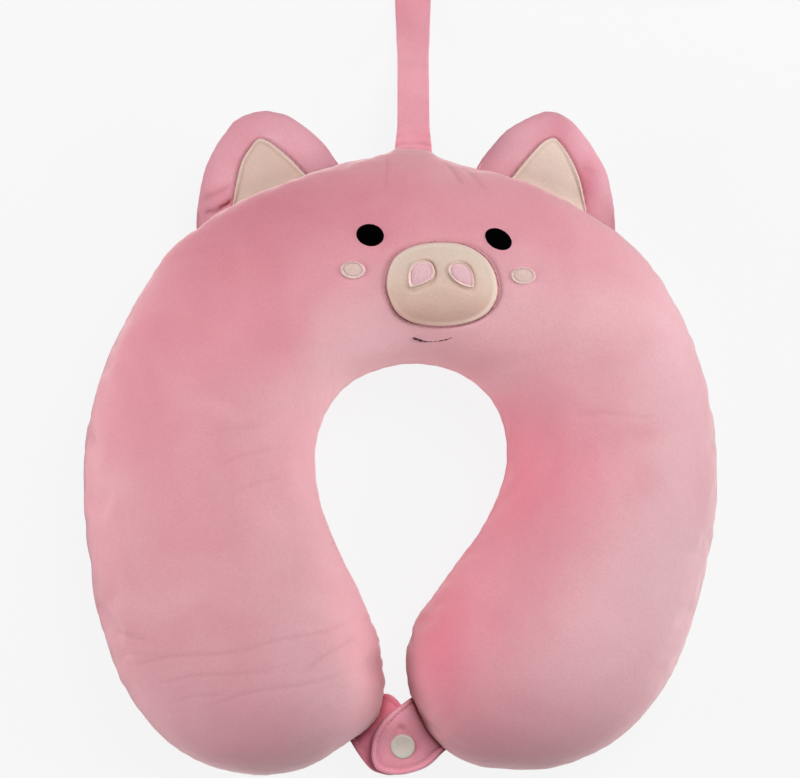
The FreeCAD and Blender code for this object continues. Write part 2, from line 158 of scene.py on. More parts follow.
def addNode(tree, kind, settings=None, links=None):
    node = tree.nodes.new(kind)
    for key, value in (settings or {}).items():
        if isinstance(key, str) and hasattr(node, key):
            setattr(node, key, value)
        else:
            node.inputs[key].default_value = value
    for key, source in (links or {}).items():
        tree.links.new(source, node.inputs[key])
    return node


def startMaterial(name):
    material = bpy.data.materials.new(name)
    material.use_nodes = True
    material.node_tree.nodes.clear()
    return material, material.node_tree


def finishMaterial(material, tree, colour, normal, look):
    shader = addNode(tree, "ShaderNodeBsdfPrincipled", look, {"Base Color": colour, "Normal": normal})
    addNode(tree, "ShaderNodeOutputMaterial", {}, {"Surface": shader.outputs[0]})
    material.diffuse_color = linear("#e09aa6")
    return material


# Materials

def makePlush(name, yarn):
    # Polyester velboa, knitted and sheared to a 2 mm pile: pale where the pile lies over, deep where one looks into
    # it, in soft brushed patches; with a painted sheen, painted light and painted shade from its layers, and painted
    # shade, darkest, in a crease
    material, tree = startMaterial(name)
    place = addNode(tree, "ShaderNodeTexCoord").outputs["Object"]
    strokeAndSheen, lean, paintedCreaseShade = (addNode(tree, "ShaderNodeAttribute", {"attribute_name": layer}).outputs["Fac"]
                            for layer in ("pileLieAndSheen", "paintedLightAndShade", "creaseDepthAndShade"))
    patches = addNode(tree, "ShaderNodeTexNoise", {
        "Scale": 1 / (yarn["patch"] * mm), "Detail": 2.5, "Roughness": 0.55, "Distortion": 0.6}, {"Vector": place})
    lie = addNode(tree, "ShaderNodeMapRange", {
        1: 0.3, 2: 0.7, 3: yarn["level"] - yarn["mottle"], 4: yarn["level"] + yarn["mottle"]}, {0: patches.outputs[0]})
    # the pile-lie layer is the pile's brushed tone, in part a painted sheen
    both = addNode(tree, "ShaderNodeMath", {"operation": "ADD", "use_clamp": True}, {0: strokeAndSheen, 1: lie.outputs[0]})
    # the pile's tufts, really 0.3 mm, drawn at about 1 mm so that they show
    tufts, clumps = (addNode(tree, "ShaderNodeTexNoise", {
        "Scale": 1 / (yarn[size] * mm), "Detail": 3.0, "Roughness": rough}, {"Vector": place})
        for size, rough in (("tuft", 0.7), ("clump", 0.6)))
    brushedPileAndSheen = addNode(tree, "ShaderNodeMix", {
        "data_type": "RGBA", 6: linear(yarn["deep"]), 7: linear(yarn["pale"])}, {0: both.outputs[0]})
    # painted shade in creases: the colour is mixed toward a dark red by the crease layer
    shaded = addNode(tree, "ShaderNodeMix", {"data_type": "RGBA", 7: linear(yarn["paintedCreaseShade"])},
                     {0: paintedCreaseShade, 6: brushedPileAndSheen.outputs[2]})
    grain = addNode(tree, "ShaderNodeMapRange", {
        1: 0.3, 2: 0.7, 3: 1 - yarn["grain"], 4: 1 + yarn["grain"]}, {0: tufts.outputs[0]}).outputs[0]
    # painted light and painted shade: the light-and-shade layer scales the colour's brightness
    bright = addNode(tree, "ShaderNodeMath", {"operation": "MULTIPLY_ADD"}, {0: lean, 1: grain, 2: grain})
    colour = addNode(tree, "ShaderNodeVectorMath", {"operation": "SCALE"},
                     {0: shaded.outputs[2], "Scale": bright.outputs[0]})
    low = addNode(tree, "ShaderNodeBump", {"Strength": 0.5, "Distance": yarn["clumpHeight"] * mm},
                  {"Height": clumps.outputs[0]})
    high = addNode(tree, "ShaderNodeBump", {"Strength": 0.5, "Distance": yarn["tuftHeight"] * mm},
                   {"Height": tufts.outputs[0], "Normal": low.outputs[0]})
    return finishMaterial(material, tree, colour.outputs[0], high.outputs[0], {
        "Roughness": 0.92, "Specular IOR Level": 0.1, "Sheen Weight": yarn["sheen"], "Sheen Roughness": 0.45,
        "Sheen Tint": linear(yarn["sheenTint"])})


def makeSatinStitch(name, thread):
    # Rayon embroidery thread, stitched side by side in short floats: silky lines across the stitch.
    # Threads really lie 0.4 mm apart, drawn at the spacing given so that they show
    material, tree = startMaterial(name)
    along = addNode(tree, "ShaderNodeUVMap", {"uv_map": "threads"}).outputs[0]
    lines = addNode(tree, "ShaderNodeTexWave", {
        "wave_type": "BANDS", "bands_direction": "X", "wave_profile": "SIN",
        "Scale": 0.314 / (thread["spacing"] * mm), "Distortion": 0.8, "Detail": 1.0, "Detail Scale": 2.0},
        {"Vector": along}).outputs["Fac"]
    shade = addNode(tree, "ShaderNodeTexNoise", {"Scale": 1 / (3.0 * mm), "Detail": 2.0}, {"Vector": along})
    share = addNode(tree, "ShaderNodeMath", {"operation": "MULTIPLY", 1: 0.6}, {0: shade.outputs[0]})
    mixed = addNode(tree, "ShaderNodeMath", {"operation": "MULTIPLY_ADD", 1: thread["contrast"]},
                    {0: lines, 2: share.outputs[0]})
    colour = addNode(tree, "ShaderNodeMix", {
        "data_type": "RGBA", 6: linear(thread["deep"]), 7: linear(thread["pale"])}, {0: mixed.outputs[0]})
    bump = addNode(tree, "ShaderNodeBump", {"Strength": 0.7, "Distance": 0.25 * mm}, {"Height": lines})
    return finishMaterial(material, tree, colour.outputs[2], bump.outputs[0], {
        "Roughness": thread["roughness"], "Specular IOR Level": thread["gloss"], "Sheen Weight": thread["sheen"]})


def makeGrained(name, finish):
    # two close tones in a grain of the given size and detail, and a low relief in it or in a grain of its own
    material, tree = startMaterial(name)
    place = addNode(tree, "ShaderNodeTexCoord").outputs["Object"]
    tones, relief = (addNode(tree, "ShaderNodeTexNoise", {
        "Scale": 1 / (size * mm), "Detail": detail, **finish.get("swirl", {})}, {"Vector": place}).outputs[0]
        for size, detail in (finish["tones"], finish.get("relief", finish["tones"])))
    colour = addNode(tree, "ShaderNodeMix", {
        "data_type": "RGBA", 6: linear(finish["deep"]), 7: linear(finish["pale"])}, {0: tones})
    strength, depth = finish["bump"]
    bump = addNode(tree, "ShaderNodeBump", {"Strength": strength, "Distance": depth * mm}, {"Height": relief})
    return finishMaterial(material, tree, colour.outputs[2], bump.outputs[0], finish["look"])


# the darkest colour of each yarn is painted shade in creases
plushYarn = {
    "deep": "#c96f80", "pale": "#e9bdc3", "paintedCreaseShade": "#780818", "level": 0.37, "mottle": 0.08, "grain": 0.05,
    "patch": 48, "clump": 5.0, "tuft": 1.1, "clumpHeight": 0.5, "tuftHeight": 0.3,
    "sheen": 0.8, "sheenTint": "#ffe3e4"}
creamYarn = {**plushYarn, "paintedCreaseShade": "#a0705f", "level": 0.45, "clumpHeight": 0.4, "sheen": 0.3, "sheenTint": "#fff1e8"}
pinkPlush = makePlush("pinkShearedPlush", plushYarn)
pinkStrapPlush = makePlush("pinkFoldedPlush", {
    **plushYarn, "deep": "#d77387", "pale": "#f3bcc7", "level": 0.45, "patch": 22, "clumpHeight": 0.35})
pinkTabPlush = makePlush("pinkStitchedPlush", {
    **plushYarn, "deep": "#cf7488", "pale": "#f0bbc6", "level": 0.4, "patch": 14, "clumpHeight": 0.35})
pinkEarPlush = makePlush("pinkEarPlush", {
    **plushYarn, "deep": "#d07d8e", "pale": "#e6b7c0", "level": 0.44, "patch": 26})
creamPlush = makePlush("creamShearedPlush", {**creamYarn, "deep": "#c6a697", "pale": "#d8c5b7", "patch": 20})
creamLining = makePlush("creamLiningPlush", {**creamYarn, "deep": "#c6a597", "pale": "#d8c6b9", "patch": 24})

satin = {"spacing": 0.8, "contrast": 0.3, "gloss": 0.25, "roughness": 0.5, "sheen": 0.2}
blackSatin = makeSatinStitch("blackSatinStitch", {
    "deep": "#010101", "pale": "#040404", "spacing": 0.7, "contrast": 0.4, "gloss": 0.0, "roughness": 0.8,
    "sheen": 0.0})
rosePaleSatin = makeSatinStitch("palePinkSatinStitch", {**satin, "deep": "#d3a2aa", "pale": "#e6c3c8"})
creamSatin = makeSatinStitch("creamSatinStitch", {**satin, "deep": "#e0c0ba", "pale": "#f4dcd5", "contrast": 0.35})
cheekSatin = makeSatinStitch("roseCreamSatinStitch", {
    **satin, "deep": "#d0b1aa", "pale": "#ddc7bf", "contrast": 0.15, "gloss": 0.2, "roughness": 0.55})

# Twisted polyester sewing thread: matt and slightly fuzzy
thread = {"tones": (0.7, 2.0), "bump": (0.5, 0.15),
          "look": {"Roughness": 0.75, "Specular IOR Level": 0.25, "Sheen Weight": 0.2}}
darkThread = makeGrained("darkMouthThread", {**thread, "deep": "#2c1219", "pale": "#5b2f3c"})
roseThread = makeGrained("roseEdgeThread", {**thread, "deep": "#b67a83", "pale": "#d6a4aa"})
pinkThread = makeGrained("pinkSeamThread", {**thread, "deep": "#cc8190", "pale": "#e0a0ab"})
# Acetal copolymer, injection moulded: creamy and slightly waxy, with a faint frosting from the mould
creamResin = makeGrained("creamMouldedResin", {
    "deep": "#d2c9be", "pale": "#e0d8ce", "tones": (6.0, 3.0), "relief": (0.8, 2.0), "bump": (0.15, 0.05),
    "look": {"Roughness": 0.34, "IOR": 1.48, "Subsurface Weight": 0.15, "Subsurface Radius": (0.8, 0.6, 0.5),
             "Subsurface Scale": 1.5 * mm}})
# Crimped polyester staple, carded into a soft white mass: matt, with matted strands
polyesterFibre = makeGrained("cardedPolyesterFibre", {
    "deep": "#e6e4df", "pale": "#f8f7f4", "tones": (4.0, 5.0), "swirl": {"Roughness": 0.7, "Distortion": 2.0},
    "bump": (0.8, 0.6), "look": {"Roughness": 0.95, "Specular IOR Level": 0.1, "Sheen Weight": 0.3}})
# Opal acrylic lit from below, the top of a product photographer's table: even, matt and glowing
lightTable = makeGrained("opalLightTable", {
    "deep": "#454545", "pale": "#4b4b4b", "tones": (2.0, 2.0), "bump": (0.05, 0.05),
    "look": {"Roughness": 0.95, "Specular IOR Level": 0.0, "Emission Color": linear("#ffffff"),
             "Emission Strength": 0.87}})
print("materials made")


# Camera, floor and light
cameraSettings = {"aim": (0.0, -66.5, 41.0), "distance": 1110.0, "lens": 99.9, "sensorWidth": 36.0}
floorSettings = {"width": 40000.0, "drop": 0.4}
# soft boxes round the middle of the object: bearing from +X, height above the table in degrees, width, power
lightSettings = {
    "middle": (0, -80, 40), "distance": 1400.0, "air": 0.05,
    "boxes": {"rightBox": (5, 27, 700, 11.5), "leftBox": (186, 23, 700, 14.5), "backBox": (56, 60, 700, 12.5)},
}


def setCamera():
    lens = bpy.data.cameras.new("pictureCamera")
    lens.lens = cameraSettings["lens"]
    lens.sensor_width = cameraSettings["sensorWidth"]
    lens.clip_start, lens.clip_end = 0.02, 80
    camera = bpy.data.objects.new("pictureCamera", lens)
    camera.location = (Vector(cameraSettings["aim"]) + up * cameraSettings["distance"]) * mm
    scene.collection.objects.link(camera)
    scene.camera = camera


def layFloor():
    bm = bmesh.new()
    bmesh.ops.create_grid(bm, x_segments=8, y_segments=8, size=floorSettings["width"] / 2 * mm)
    bmesh.ops.translate(bm, vec=(0, 0, -floorSettings["drop"] * mm), verts=bm.verts)
    mesh = bpy.data.meshes.new("studioFloor")
    bm.to_mesh(mesh)
    bm.free()
    mesh.materials.append(lightTable)
    floor = bpy.data.objects.new("studioFloor", mesh)
    scene.collection.objects.link(floor)


def hangLights():
    for name, (bearing, height, width, watts) in lightSettings["boxes"].items():
        light = bpy.data.lights.new(name, "AREA")
        light.size = width * mm
        light.energy = watts
        holder = bpy.data.objects.new(name, light)
        turn, rise = math.radians(bearing), math.radians(height)
        toLight = Vector((math.cos(rise) * math.cos(turn), math.cos(rise) * math.sin(turn), math.sin(rise)))
        holder.location = (Vector(lightSettings["middle"]) + toLight * lightSettings["distance"]) * mm
        holder.rotation_euler = (-toLight).to_track_quat("-Z", "Y").to_euler()
        scene.collection.objects.link(holder)
    world = bpy.data.worlds.new("studioAir")
    world.use_nodes = True
    air = world.node_tree.nodes["Background"]
    air.inputs[0].default_value = linear("#ffffff")
    air.inputs[1].default_value = lightSettings["air"]
    scene.world = world
    scene.view_settings.view_transform = "Standard"


setCamera()
layFloor()
hangLights()
print("camera, floor and light set")


# Mesh helpers

def newPiece(name, bm, material):
    mesh = bpy.data.meshes.new(name)
    bm.to_mesh(mesh)
    bm.free()
    mesh.materials.append(material)
    mesh.shade_smooth()
    piece = bpy.data.objects.new(name, mesh)
    scene.collection.objects.link(piece)
    return piece


def applyModifiers(piece):
    shape = piece.evaluated_get(bpy.context.evaluated_depsgraph_get())
    mesh = bpy.data.meshes.new_from_object(shape)
    piece.modifiers.clear()
    piece.data = mesh


def editMesh(mesh, change):
    bm = bmesh.new()
    bm.from_mesh(mesh)
    change(bm)
    bm.to_mesh(mesh)
    bm.free()


def pushOut(bm, amount):
    bm.normal_update()
    for vert in bm.verts:
        vert.co += vert.normal * amount * mm


def cutLevel(bm, height, keep=None, near=0.02):
    bmesh.ops.bisect_plane(
        bm, geom=bm.verts[:] + bm.edges[:] + bm.faces[:], dist=near * mm, plane_co=(0, 0, height * mm),
        plane_no=up, clear_inner=keep == "above", clear_outer=keep == "below")


def makePanels(whole, names, material, cloth, near=0.02):
    # the upper and the lower half of a closed form, parted at the seam, in cloth of this thickness
    panels = []
    for name, keep in zip(names, ("above", "below")):
        bm = whole.copy()
        cutLevel(bm, seamHeight, keep, near)
        panels.append(newPiece(name, bm, material))
        wall = panels[-1].modifiers.new("clothThickness", "SOLIDIFY")
        wall.thickness = cloth * mm
        wall.offset = -1
        wall.use_even_offset = False
    return panels


def bridgeRings(bm, rings):
    for lower, upper in zip(rings, rings[1:]):
        edges = [edge for ring in (lower, upper) for vert in ring for edge in vert.link_edges
                 if edge.other_vert(vert) in ring]
        bmesh.ops.bridge_loops(bm, edges=list(dict.fromkeys(edges)))


# The cover: a front and a back panel round the filling

coverSettings = {
    "voxel": 4.0, "startsOver": 1.3, "quickOver": 0.9, "frames": 20, "mostMove": 2.4, "seamHeld": 3.5,
    "cloth": 1.2, "fillingUnder": 2.0, "cuts": (0.0, 1.1, -1.1, 2.8, -2.8), "refined": 6.0,
    "puff": {"quality": 5, "mass": 0.3, "tension_stiffness": 12, "compression_stiffness": 12,
             "bending_stiffness": 0.4, "use_pressure": True, "uniform_pressure_force": 4.0,
             "vertex_group_mass": "seam", "vertex_group_shrink": "slack", "shrink_min": -0.02, "shrink_max": -0.06},
    "groove": ((0.0, -1.6), (1.1, -0.55), (2.8, 0.15), (6.0, 0.0)),
    "strapPull": {"x": 6.4, "flat": 8.5, "amount": 5.2, "width": 9.0, "height": 15.0},
    # how far the arms stand out beyond the filling's shape, by bearing from the neck hole, degrees and mm
    "outerPush": (
        (-180, 2.2), (-170, 1.0), (-160, 0.1), (-150, 0.4), (-140, 1.7), (-130, 0.2), (-120, -0.3), (-110, -0.3),
        (-100, 0.0), (-80, 0.0), (-70, -0.3), (-60, 0.7), (-50, 1.8), (-40, 0.9), (-30, -0.5), (-20, 0.2),
        (-10, 2.0), (0, 1.4), (10, 0.2), (20, -0.3), (30, 0.2), (40, 2.6), (55, 1.4), (68, 1.0), (79, -0.4),
        (88, 0.6), (100, 1.9), (120, 1.4), (140, 2.1), (150, -1.3), (160, -1.7), (170, -0.2), (180, 2.2)),
    "innerPush": (
        (-180, 1.4), (-150, 1.8), (-140, 2.3), (-130, 2.1), (-120, 1.4), (-100, 0.8), (-90, 0.2), (-80, 0.0),
        (-60, 1.1), (-40, 0.6), (-20, 0.0), (0, 0.7), (20, 1.2), (50, 1.6), (80, 2.1), (110, 2.2), (130, 1.3),
        (150, 1.3), (180, 1.4)),
    "pushReach": 26.0,
    # each arm's inner edge above the tabs: from, to and how far out, mm
    "gapPush": {"right": (-221.0, -194.0, 2.3), "left": (-209.0, -195.0, -1.4)},
    "lumps": ((46.0, 1.0), (19.0, 0.35)),
    "gathers": {"first": -216.0, "last": -181.0, "pitch": 6.6, "amount": 0.3, "reach": 12.0},
    "seamGathers": {"pitch": 9.0, "amount": 0.1, "reach": 12.0},
}
# the snout's sewn edge, round from its left end, and the dent it pulls into the cover, mm
snoutMiddle = (20.0, -16.0)
snoutEdge = (
    (-6.6, -17.4), (-5.2, -8.0), (-0.9, -1.6), (8.0, 2.7), (20.2, 4.1), (31.4, 2.5), (40.3, -2.9), (45.1, -9.7),
    (47.1, -17.9), (45.9, -24.2), (42.7, -29.1), (37.5, -32.6), (30.1, -34.8), (20.2, -35.7), (9.4, -34.6),
    (1.9, -31.9), (-3.3, -26.9))
beyondSnout = beyondEdge(snoutEdge, snoutMiddle)
# the groove round the snout also gets painted shade: dark and darkWidth are how dark and how wide
snoutDent = {"depth": 1.0, "width": 1.2, "outset": 0.5, "dark": 0.12, "darkWidth": 0.9}
# the dents round the eyes and cheeks: how much wider than the solid, depth, share of the size they fade in
faceDents = [([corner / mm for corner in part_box(node)], *dent) for node, dent in (
    ("eye_left", (1.12, 0.7, 0.5)), ("eye_right", (1.12, 0.7, 0.5)),
    ("cheek_left_rim", (1.05, 0.4, 0.4)), ("cheek_right_rim", (1.05, 0.4, 0.4)))]
# creases in the top cloth of lobe, arms and crown: the line from end to end, depth, half width, how dark the painted
# shade in it is, mm
coverCreases = [
    ((-137.5, -185.5, -123.5, -187.0), 0.09, 1.5, 0.1), ((-125.4, -199.3, -79.5, -191.2), 0.09, 1.4, 0.1),
    ((-74.4, -192.2, -30.5, -181.0), 0.07, 1.4, 0.09), ((-114.0, -208.5, -65.0, -200.4), 0.08, 1.4, 0.09),
    ((-106.0, -216.6, -87.7, -212.6), 0.07, 1.4, 0.08), ((-87.7, -217.6, -34.6, -204.5), 0.08, 1.5, 0.09),
    ((-44.8, -201.4, -22.4, -187.0), 0.07, 1.5, 0.08), ((-136.6, -197.0, -118.0, -194.0), 0.07, 1.4, 0.07),
    ((91.0, -78.5, 120.0, -79.0), 0.13, 2.0, 0.08), ((-84.0, -101.5, -61.0, -94.5), 0.07, 1.5, 0.06),
    ((-92.0, -88.0, -70.0, -84.0), 0.07, 1.5, 0.04), ((-78.0, -116.0, -58.0, -108.5), 0.07, 1.5, 0.05),
    ((22.5, 45.0, 30.0, 34.5), 0.2, 1.4, 0.18), ((30.0, 43.5, 41.0, 32.0), 0.16, 1.4, 0.15),
    ((-6.5, 46.0, -6.5, 33.0), 0.15, 1.5, 0.1),
]
# where the cover bears on the tabs, painted shade: lines in plan, how dark and how wide, and how far up the shade
# reaches
tabTouches = [((5.5, -221.0, 9.0, -223.5), 0.9, 1.5), ((8.4, -223.8, 20.3, -247.0), 1.0, 1.9),
              ((-7.5, -224.5, -24.0, -243.5), 0.7, 1.8)]
touchReach = 13.5
# where the pile has been brushed over, pale, or up, deep, in part a painted sheen on the pale side: middle, reach
# along X and Y, amount
pileAndSheenStrokes = [
    (135, -150, 45, 90, 0.6), (-30, -135, 45, 90, 0.42), (45, -30, 60, 30, 0.38), (-75, 30, 70, 70, -0.25),
    (60, -105, 45, 45, -0.28), (90, -210, 30, 60, 0.22), (-120, -225, 45, 90, 0.18), (15, -180, 22, 45, -0.38),
    (135, -30, 30, 60, 0.3), (-15, -60, 30, 30, 0.55), (-30, -240, 22, 45, 0.25), (120, -105, 30, 30, -0.1),
    (117, -112, 10, 12, -0.15), (118, -87, 9, 5, -0.15), (-148, -172, 22, 35, -0.06), (51, -62, 15, 12, 0.16),
    (-56, -42, 16, 12, -0.12), (-137, -112, 12, 30, 0.08)]
# and painted shade, dark, and painted light, bright, in broad patches
paintedLightPatches = [
    (-30, -255, 100, 100, -0.18), (150, -120, 45, 90, -0.25), (15, -165, 30, 60, 0.21), (75, -105, 60, 30, 0.16),
    (90, 30, 100, 100, -0.07), (90, -240, 45, 45, -0.12), (-45, -135, 22, 45, -0.12), (-30, -45, 60, 30, 0.08),
    (-45, 15, 60, 30, -0.06), (0, -225, 22, 45, 0.2), (-146, -172, 22, 35, -0.07), (0, -258, 110, 16, -0.08)]
# painted shade along the outer rim of the cover and painted light along its inner rim: the amount outside, and inside
# by bearing from the neck hole
rimLightAndShade = {"outer": -0.28, "reach": 9.0, "innerReach": 14.0,
           "inner": ((-180, 0.0), (0, 0.03), (40, 0.22), (110, 0.22), (150, 0.0), (180, 0.0))}


def puffCover(form):
    # inflates the cloth a little, held along its seam and slacker over the left lobe
    seam = form.vertex_groups.new(name="seam")
    slack = form.vertex_groups.new(name="slack")
    for vert in form.data.vertices:
        x, y, z = (value / mm for value in vert.co)
        if abs(z - seamHeight) < coverSettings["seamHeld"] and abs(vert.normal.z) < 0.7:
            seam.add([vert.index], 1.0, "REPLACE")
        slack.add([vert.index], ease(-y, 160, 190) * ease(-x, -6, 10) * ease(x, -150, -110), "REPLACE")
    before = [vert.co.copy() for vert in form.data.vertices]
    cloth = form.modifiers.new("puff", "CLOTH")
    for key, value in coverSettings["puff"].items():
        setattr(cloth.settings, key, value)
    cloth.settings.effector_weights.gravity = 0
    for number in range(1, coverSettings["frames"] + 1):
        scene.frame_set(number)
    shape = form.evaluated_get(bpy.context.evaluated_depsgraph_get())
    after = [vert.co.copy() for vert in shape.data.vertices]
    form.modifiers.clear()
    most = coverSettings["mostMove"] * mm
    for vert, start, end in zip(form.data.vertices, before, after):
        move = end - start
        if move.length > most:
            move *= most / move.length
        vert.co = start + move
        vert.co.z = max(vert.co.z, 0.25 * mm)
    scene.frame_set(1)


def grooveDepth(rise):
    steps = coverSettings["groove"]
    for (low, first), (high, second) in zip(steps, steps[1:]):
        if rise <= high:
            return first + (second - first) * ease(rise, low, high)
    return 0.0


def ovalDistance(x, y, box, grow):
    low, high = box
    across = (x - (low.x + high.x) / 2) / ((high.x - low.x) / 2 * grow)
    along = (y - (low.y + high.y) / 2) / ((high.y - low.y) / 2 * grow)
    return math.hypot(across, along)


def alongCrease(x, y, line):
    # how much of a crease is there, fading at its ends, and the distance to its gently waving line
    share, side = distanceToLine(x, y, line)
    wave = 0.028 * math.hypot(line[2] - line[0], line[3] - line[1])
    return ease(share, -0.3, 0.15) * ease(1 - share, -0.3, 0.15), side + wave * math.sin(share * 5.0)


def creaseDepthAndShade(x, y, creases):
    total = 0.0
    for line, depth, width, _ in creases:
        share, side = alongCrease(x, y, line)
        if share > 0:
            total += depth * share * (0.7 * bell(abs(side) - 2.1 * width, width) - bell(side, width))
    return total


def creaseShade(x, y, creases):
    most = 0.0
    for line, _, width, dark in creases:
        share, side = alongCrease(x, y, line)
        most = max(most, dark * share * bell(side, width * 0.7))
    return most


def coverShift(co, normal):
    spot = co / mm
    x, y, z = spot
    rise = abs(z - seamHeight)
    away = Vector((x, y, 0)) - holeMiddle
    turn = math.atan2(away.y, away.x)
    flat = Vector((normal.x, normal.y, 0))
    flat = flat.normalized() if flat.length > 1e-6 else flat
    shift = Vector((0, 0, 0))
    for size, amount in coverSettings["lumps"]:
        shift += normal * amount * noise.noise(spot / size)
    # the groove of the seam and the fine gathers beside it
    if rise < 6 and abs(normal.z) < 0.9:
        shift += flat * grooveDepth(rise) * (1 - abs(normal.z))
    row = coverSettings["seamGathers"]
    wave = math.sin(turn * away.length / row["pitch"] * 2 * math.pi + 4 * noise.noise(spot / 40))
    shift += normal * row["amount"] * wave * bell(rise, row["reach"]) * (1 - ease(abs(normal.z), 0.55, 0.95))
    # the puckers of the seam that is sewn shut by hand
    row = coverSettings["gathers"]
    if row["first"] - 8 < y < row["last"] + 8 and -52 < x < 4 and away.length < 125 and normal.x > -0.2:
        ends = ease(y, row["first"] - 8, row["first"] + 4) * ease(-y, -row["last"] - 8, -row["last"] + 6)
        wave = math.cos(2 * math.pi * y / row["pitch"] + 3.2 * noise.noise(spot / 12))
        inner = bell(rise, row["reach"]) * (1 - ease(abs(normal.z), 0.7, 0.98))
        shift += normal * row["amount"] * wave * ends * inner
    # the arms' outline
    facing = flat.dot(away.normalized()) if away.length else 0
    side = "outerPush" if facing > 0 else "innerPush"
    push = profileHeight(coverSettings[side], math.degrees(turn)) * ease(abs(facing), 0.0, 0.5)
    shift += flat * push * (1 - normal.z ** 2) * bell(rise, coverSettings["pushReach"])
    if y < -180 and abs(x) < 35:
        low, high, amount = coverSettings["gapPush"]["right" if x > 0 else "left"]
        share = ease(y, low - 5, low + 4) * ease(-y, -high - 5, -high + 4) * ease(35 - abs(x), 0, 15)
        share *= ease(-normal.x if x > 0 else normal.x, 0.0, 0.6)
        shift += flat * amount * share * bell(rise, coverSettings["pushReach"])
    pull = coverSettings["strapPull"]
    if y > 20:
        off = max(abs(x - pull["x"]) - pull["flat"], 0)
        share = math.exp(-off / pull["width"]) * bell(rise, pull["height"]) * ease(y, 25, 46)
        shift += Vector((0, pull["amount"] * share, 0))
    if normal.z > 0.2:
        shift += normal * creaseDepthAndShade(x, y, coverCreases)
    # the dents round what is sewn on the face
    if z > seamHeight + 15 and -60 < y < 30 and -45 < x < 80:
        shift -= up * snoutDent["depth"] * bell(beyondSnout(x, y) - snoutDent["outset"], snoutDent["width"])
        for box, grow, depth, width in faceDents:
            shift -= up * depth * bell(ovalDistance(x, y, box, grow) - 1, width)
    return shift * mm


def makeCoverForm():
    form = bpy.data.objects.new("coverForm", nodes["fibre_fill"].data.copy())
    scene.collection.objects.link(form)
    editMesh(form.data, lambda bm: bmesh.ops.remove_doubles(bm, verts=bm.verts, dist=0.01 * mm))
    form.data.materials.clear()
    remesh = form.modifiers.new("grid", "REMESH")
    remesh.mode = "VOXEL"
    remesh.voxel_size = coverSettings["voxel"] * mm
    applyModifiers(form)
    editMesh(form.data, lambda bm: pushOut(bm, coverSettings["startsOver"]))
    puffCover(form)
    return form


def nearDetail(co):
    x, y, z = co / mm
    if z < seamHeight:
        return False
    if abs(beyondSnout(x, y)) < coverSettings["refined"]:
        return True
    return any(-0.3 < share < 1.3 and abs(side) < coverSettings["refined"]
               for share, side in (distanceToLine(x, y, line[0]) for line in coverCreases + tabTouches))


# a sum of soft strokes: brushed pile, painted sheen, painted light and painted shade
def strokeSum(x, y, strokes):
    return sum(amount * math.exp(-((x - cx) / wide) ** 2 - ((y - cy) / tall) ** 2)
               for cx, cy, wide, tall, amount in strokes)


# the vertex layers: how the pile lies, in part a painted sheen; painted light and painted shade; and painted shade in
# creases
def pileLayers(bm):
    return [bm.verts.layers.float.new(layer) for layer in ("pileLieAndSheen", "paintedLightAndShade", "creaseDepthAndShade")]


def paintCover(bm):
    # how the pile lies, in part a painted sheen; painted light and painted shade in patches and along the rim; and
    # painted shade in the creases, by the tabs and round the snout
    lie, lean, deep = pileLayers(bm)
    for vert in bm.verts:
        x, y, z = vert.co / mm
        away = Vector((x, y, 0)) - holeMiddle
        facing = vert.normal.dot(away.normalized())
        outer = rimLightAndShade["outer"] * ease(facing, 0.0, 0.5) * bell(z - seamHeight, rimLightAndShade["reach"])
        inner = profileHeight(rimLightAndShade["inner"], math.degrees(math.atan2(away.y, away.x)))
        inner *= ease(-facing, 0.0, 0.5) * bell(z - seamHeight, rimLightAndShade["innerReach"])
        vert[lie] = strokeSum(x, y, pileAndSheenStrokes)
        vert[lean] = strokeSum(x, y, paintedLightPatches) + outer + inner
        if z < seamHeight - 12:
            continue
        dark = creaseShade(x, y, coverCreases) if z > seamHeight else 0.0
        for line, amount, width in tabTouches:
            share, side = distanceToLine(x, y, line)
            ends = ease(share, -0.1, 0.1) * ease(1 - share, -0.1, 0.1)
            dark = max(dark, amount * bell(side, width) * ends * bell(z - seamHeight, touchReach))
        if z > seamHeight + 15:
            dark = max(dark, snoutDent["dark"] * bell(beyondSnout(x, y) - snoutDent["outset"], snoutDent["darkWidth"]))
        vert[deep] = dark


def shapeCover(form):
    smooth = form.modifiers.new("finer", "SUBSURF")
    smooth.levels = smooth.render_levels = 1
    applyModifiers(form)
    bm = bmesh.new()
    bm.from_mesh(form.data)
    for rise in coverSettings["cuts"]:
        cutLevel(bm, seamHeight + rise)
    edges = [edge for edge in bm.edges if nearDetail(edge.verts[0].co) and nearDetail(edge.verts[1].co)]
    bmesh.ops.subdivide_edges(bm, edges=edges, cuts=1, use_grid_fill=True)
    bm.normal_update()
    shifts = [coverShift(vert.co, vert.normal) for vert in bm.verts]
    for vert, shift in zip(bm.verts, shifts):
        vert.co += shift
        vert.co.z = max(vert.co.z, 0.2 * mm)
    paintCover(bm)
    return bm


coverForm = makeCoverForm()
coverBody = shapeCover(coverForm)
bpy.data.objects.remove(coverForm)
coverTree = BVHTree.FromBMesh(coverBody)
frontPanel, backPanel = makePanels(coverBody, ("frontPanel", "backPanel"), pinkPlush, coverSettings["cloth"])
pushOut(coverBody, -coverSettings["fillingUnder"])
filling = newPiece("coverFilling", coverBody, polyesterFibre)
for piece, node in ((frontPanel, "cover_front"), (backPanel, "cover_back"), (filling, "fibre_fill")):
    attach(piece, "pillow")
    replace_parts(piece, node)
print("cover panels and filling made")


# Pieces sewn on the cloth

